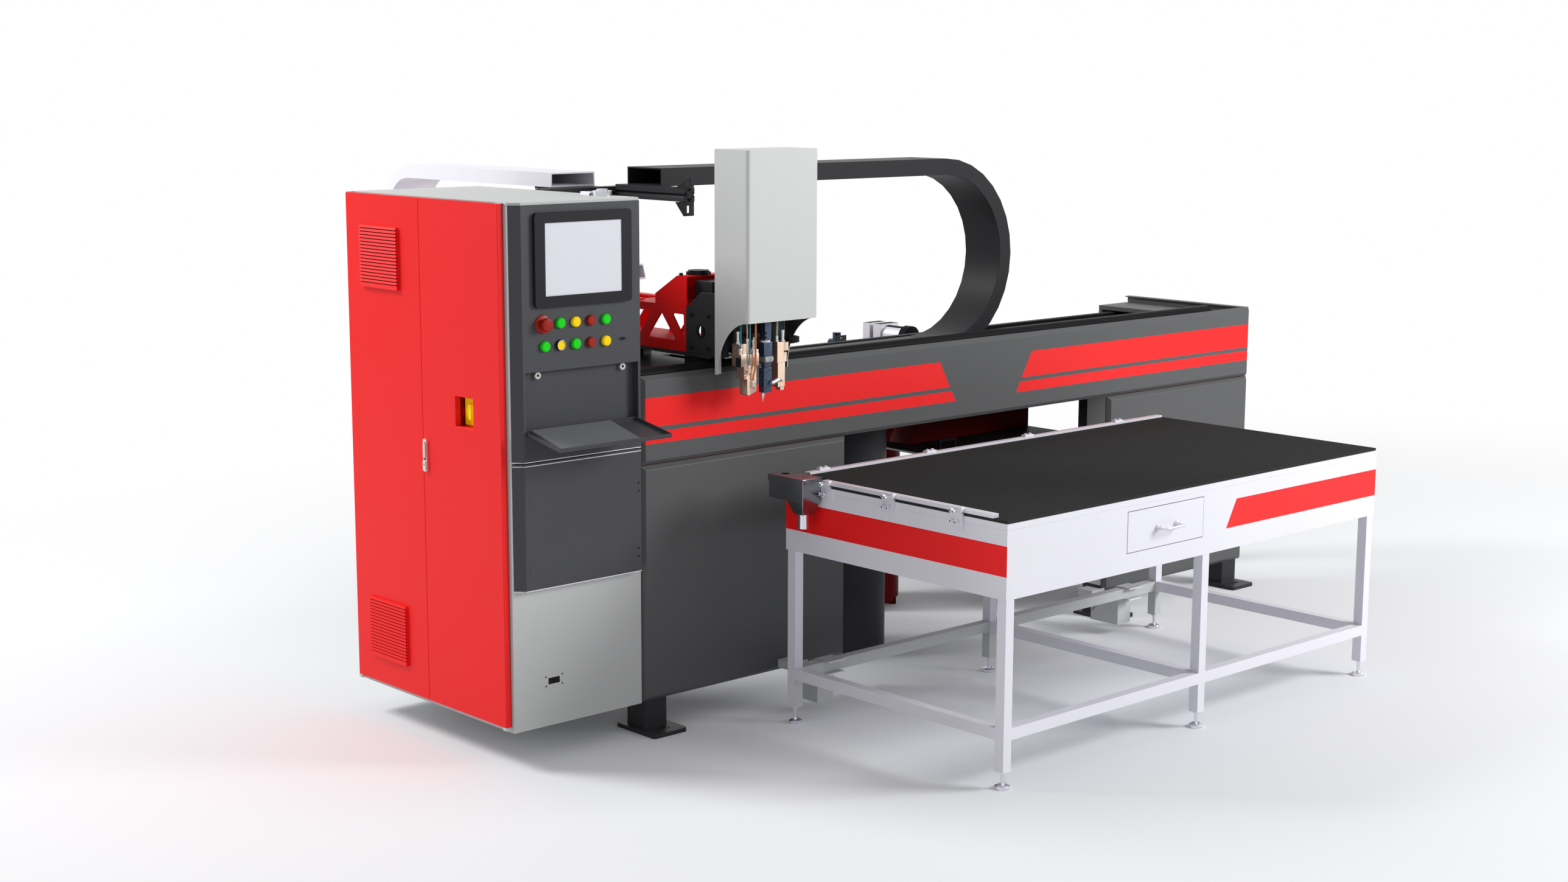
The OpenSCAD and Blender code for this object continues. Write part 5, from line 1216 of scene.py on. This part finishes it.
class GASKET_OT_supply(bpy.types.Operator):
    """Finishes the tanks, the feed motor, the bench and the air regulator"""

    bl_idname = "gasket.supply"
    bl_label = "Supply Unit"

    def execute(self, context):
        sizes = context.scene.gasket_sizes
        gear_foot, partition = 1.1125, 0.867
        bracket_face = BOXES["air_regulator"][0].y + 0.0037
        # The red tank and the duct take the darkened red that paints the shade under the beam.
        dress("supply_tanks", "shade_darkened_red", sizes.small_edge,
              [("pale_alu", heights(low=gear_foot)), ("rail_black", self.motor_black),
               ("black_paint", lambda at, facing: at.x < 0)])
        dress("service_bench", "cabinet_grey", sizes.small_edge,
              [("black_paint", lambda at, facing: at.x > partition),
               ("rail_black", self.shelf_black), ("shade_darkened_red", self.duct)])
        dress("air_regulator", "regulator", sizes.small_edge,
              [("black_paint", lambda at, facing: at.y < bracket_face)])
        return {"FINISHED"}

    def motor_black(self, at, facing):
        """Whether a face belongs to the gear motor's black end, its joint or its top."""
        foot, end, joint_front, joint_back = 1.12, 0.4396, 0.5896, 0.6104
        return at.z > foot and (facing.z > 0.9 or at.y < end or joint_front < at.y < joint_back)

    def shelf_black(self, at, facing):
        """Whether a face belongs to the shelf's black top or the handle on its front."""
        shelf, handle_back = 0.7796, -0.037
        return at.z > shelf and (facing.z > 0.5 or at.y < handle_back)

    def duct(self, at, facing):
        """Whether a face belongs to the red duct over the shelf."""
        front, foot, top = 0.1, 0.7802, 0.951
        return at.y > front and foot < at.z < top


class GASKET_OT_studio(bpy.types.Operator):
    """Builds the floor, the even light, two lamps and the camera"""

    bl_idname = "gasket.studio"
    bl_label = "Studio"

    def execute(self, context):
        studio = context.scene.gasket_studio
        self.floor(studio)
        self.sky(context.scene, studio)
        self.lamp("front_lamp", studio.key, size=3.5, place=(4.5, -6.5, 4.2),
                  target=(0.3, -0.4, 0.9))
        self.lamp("door_lamp", studio.side, size=2.5, place=(-5.0, 4.0, 5.4),
                  target=(-2.3, 0.1, 1.0))
        self.camera(context.scene, studio)
        context.scene.view_settings.view_transform = "Standard"
        return {"FINISHED"}

    def floor(self, studio):
        """A round floor that fades to white away from the machine."""
        fade_start, fade_end = 0.35, 1.5
        bm = bmesh.new()
        bmesh.ops.create_circle(bm, cap_ends=True, segments=96, radius=60)
        mesh = bpy.data.meshes.new("floor")
        bm.to_mesh(mesh)
        bm.free()
        piece = link("floor", mesh)
        piece.location = (0, -0.4, -0.0005)
        tree = Finish(bpy.data.materials.new("studio_floor"))
        spread = tree.node("ShaderNodeMapping", None,
                           {"Vector": tree.place(), "Scale": (0.2, 0.26, 0)})
        away = tree.node("ShaderNodeVectorMath", {"operation": "LENGTH"}, {0: spread},
                         output="Value")
        fade = tree.node("ShaderNodeMapRange", {"interpolation_type": "SMOOTHSTEP"},
                         {"Value": away, "From Min": fade_start, "From Max": fade_end})
        rays = tree.node("ShaderNodeLightPath", output="Is Camera Ray")
        matt = tree.node("ShaderNodeBsdfDiffuse", None,
                         {"Color": (*linear(studio.floor), 1), "Roughness": 0.2})
        white = tree.node("ShaderNodeEmission", None, {"Color": (1, 1, 1, 1), "Strength": 1.0})
        both = tree.node("ShaderNodeMixShader", None, {0: fade * rays, 1: matt, 2: white})
        tree.node("ShaderNodeOutputMaterial", None, {"Surface": both})
        mesh.materials.append(tree.owner)

    def sky(self, scene, studio):
        """Even light, and plain white behind the machine and in its reflections."""
        scene.world = bpy.data.worlds.new("studio_sky")
        tree = Finish(scene.world)
        rays = tree.node("ShaderNodeLightPath", output="Is Camera Ray")
        seen = rays + rays.output("Is Glossy Ray") + rays.output("Is Transmission Ray")
        even = tree.node("ShaderNodeBackground", None,
                         {"Color": (1, 1, 1, 1), "Strength": studio.sky})
        white = tree.node("ShaderNodeBackground", None, {"Color": (1, 1, 1, 1), "Strength": 1.0})
        both = tree.node("ShaderNodeMixShader", None,
                         {0: seen.math("MINIMUM", seen, 1.0), 1: even, 2: white})
        tree.node("ShaderNodeOutputWorld", None, {"Surface": both})

    def lamp(self, name, power, size, place, target):
        """A round lamp that looks at a point."""
        data = bpy.data.lights.new(name, "AREA")
        data.shape = "DISK"
        data.size = size
        data.energy = power
        piece = link(name, data)
        piece.location = place
        piece.rotation_euler = (Vector(target) - Vector(place)).to_track_quat("-Z", "Y").to_euler()

    def camera(self, scene, studio):
        """The camera in the place that was solved from the photograph."""
        data = bpy.data.cameras.new("camera")
        data.lens = studio.lens
        data.sensor_width = 36
        data.clip_start, data.clip_end = 0.05, 200
        scene.camera = link("camera", data)
        place = (-6.4041, -6.1513, 2.2937)
        heading, tilt, roll = (math.radians(angle) for angle in (-42.475, 80.485, 0.176))
        turn = (Matrix.Rotation(heading, 4, "Z") @ Matrix.Rotation(tilt, 4, "X")
                @ Matrix.Rotation(roll, 4, "Z"))
        scene.camera.matrix_world = Matrix.Translation(place) @ turn


class GASKET_PT_machine(bpy.types.Panel):
    """Lists the machine's groups in the 3D view's sidebar"""

    bl_idname = "GASKET_PT_machine"
    bl_label = "Gasket Machine"
    bl_space_type = "VIEW_3D"
    bl_region_type = "UI"
    bl_category = "Gasket Machine"

    def draw(self, context):
        for step in STEPS:
            self.layout.operator(step.bl_idname)
        for group in (context.scene.gasket_colours, context.scene.gasket_sizes,
                      context.scene.gasket_studio):
            box = self.layout.box()
            for key in group.__annotations__:
                box.prop(group, key)


STEPS = (GASKET_OT_studio, GASKET_OT_beam, GASKET_OT_cabinet, GASKET_OT_controls,
         GASKET_OT_keyboard, GASKET_OT_arm, GASKET_OT_head, GASKET_OT_chains, GASKET_OT_table,
         GASKET_OT_supply)
GROUPS = {"gasket_colours": MachineColours, "gasket_sizes": MachineSizes,
          "gasket_studio": StudioSettings}


def register():
    """Adds the settings, the operators and the panel to Blender."""
    for group in GROUPS.values():
        bpy.utils.register_class(group)
    for key, group in GROUPS.items():
        setattr(bpy.types.Scene, key, PointerProperty(type=group))
    for step in STEPS:
        bpy.utils.register_class(step)
    bpy.utils.register_class(GASKET_PT_machine)


def unregister():
    """Takes them out again."""
    bpy.utils.unregister_class(GASKET_PT_machine)
    for step in reversed(STEPS):
        bpy.utils.unregister_class(step)
    for key in GROUPS:
        delattr(bpy.types.Scene, key)
    for group in GROUPS.values():
        bpy.utils.unregister_class(group)


def main():
    """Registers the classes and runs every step."""
    register()
    for step in STEPS:
        group, name = step.bl_idname.split(".")
        getattr(getattr(bpy.ops, group), name)()
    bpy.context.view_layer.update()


if __name__ == "__main__":
    main()
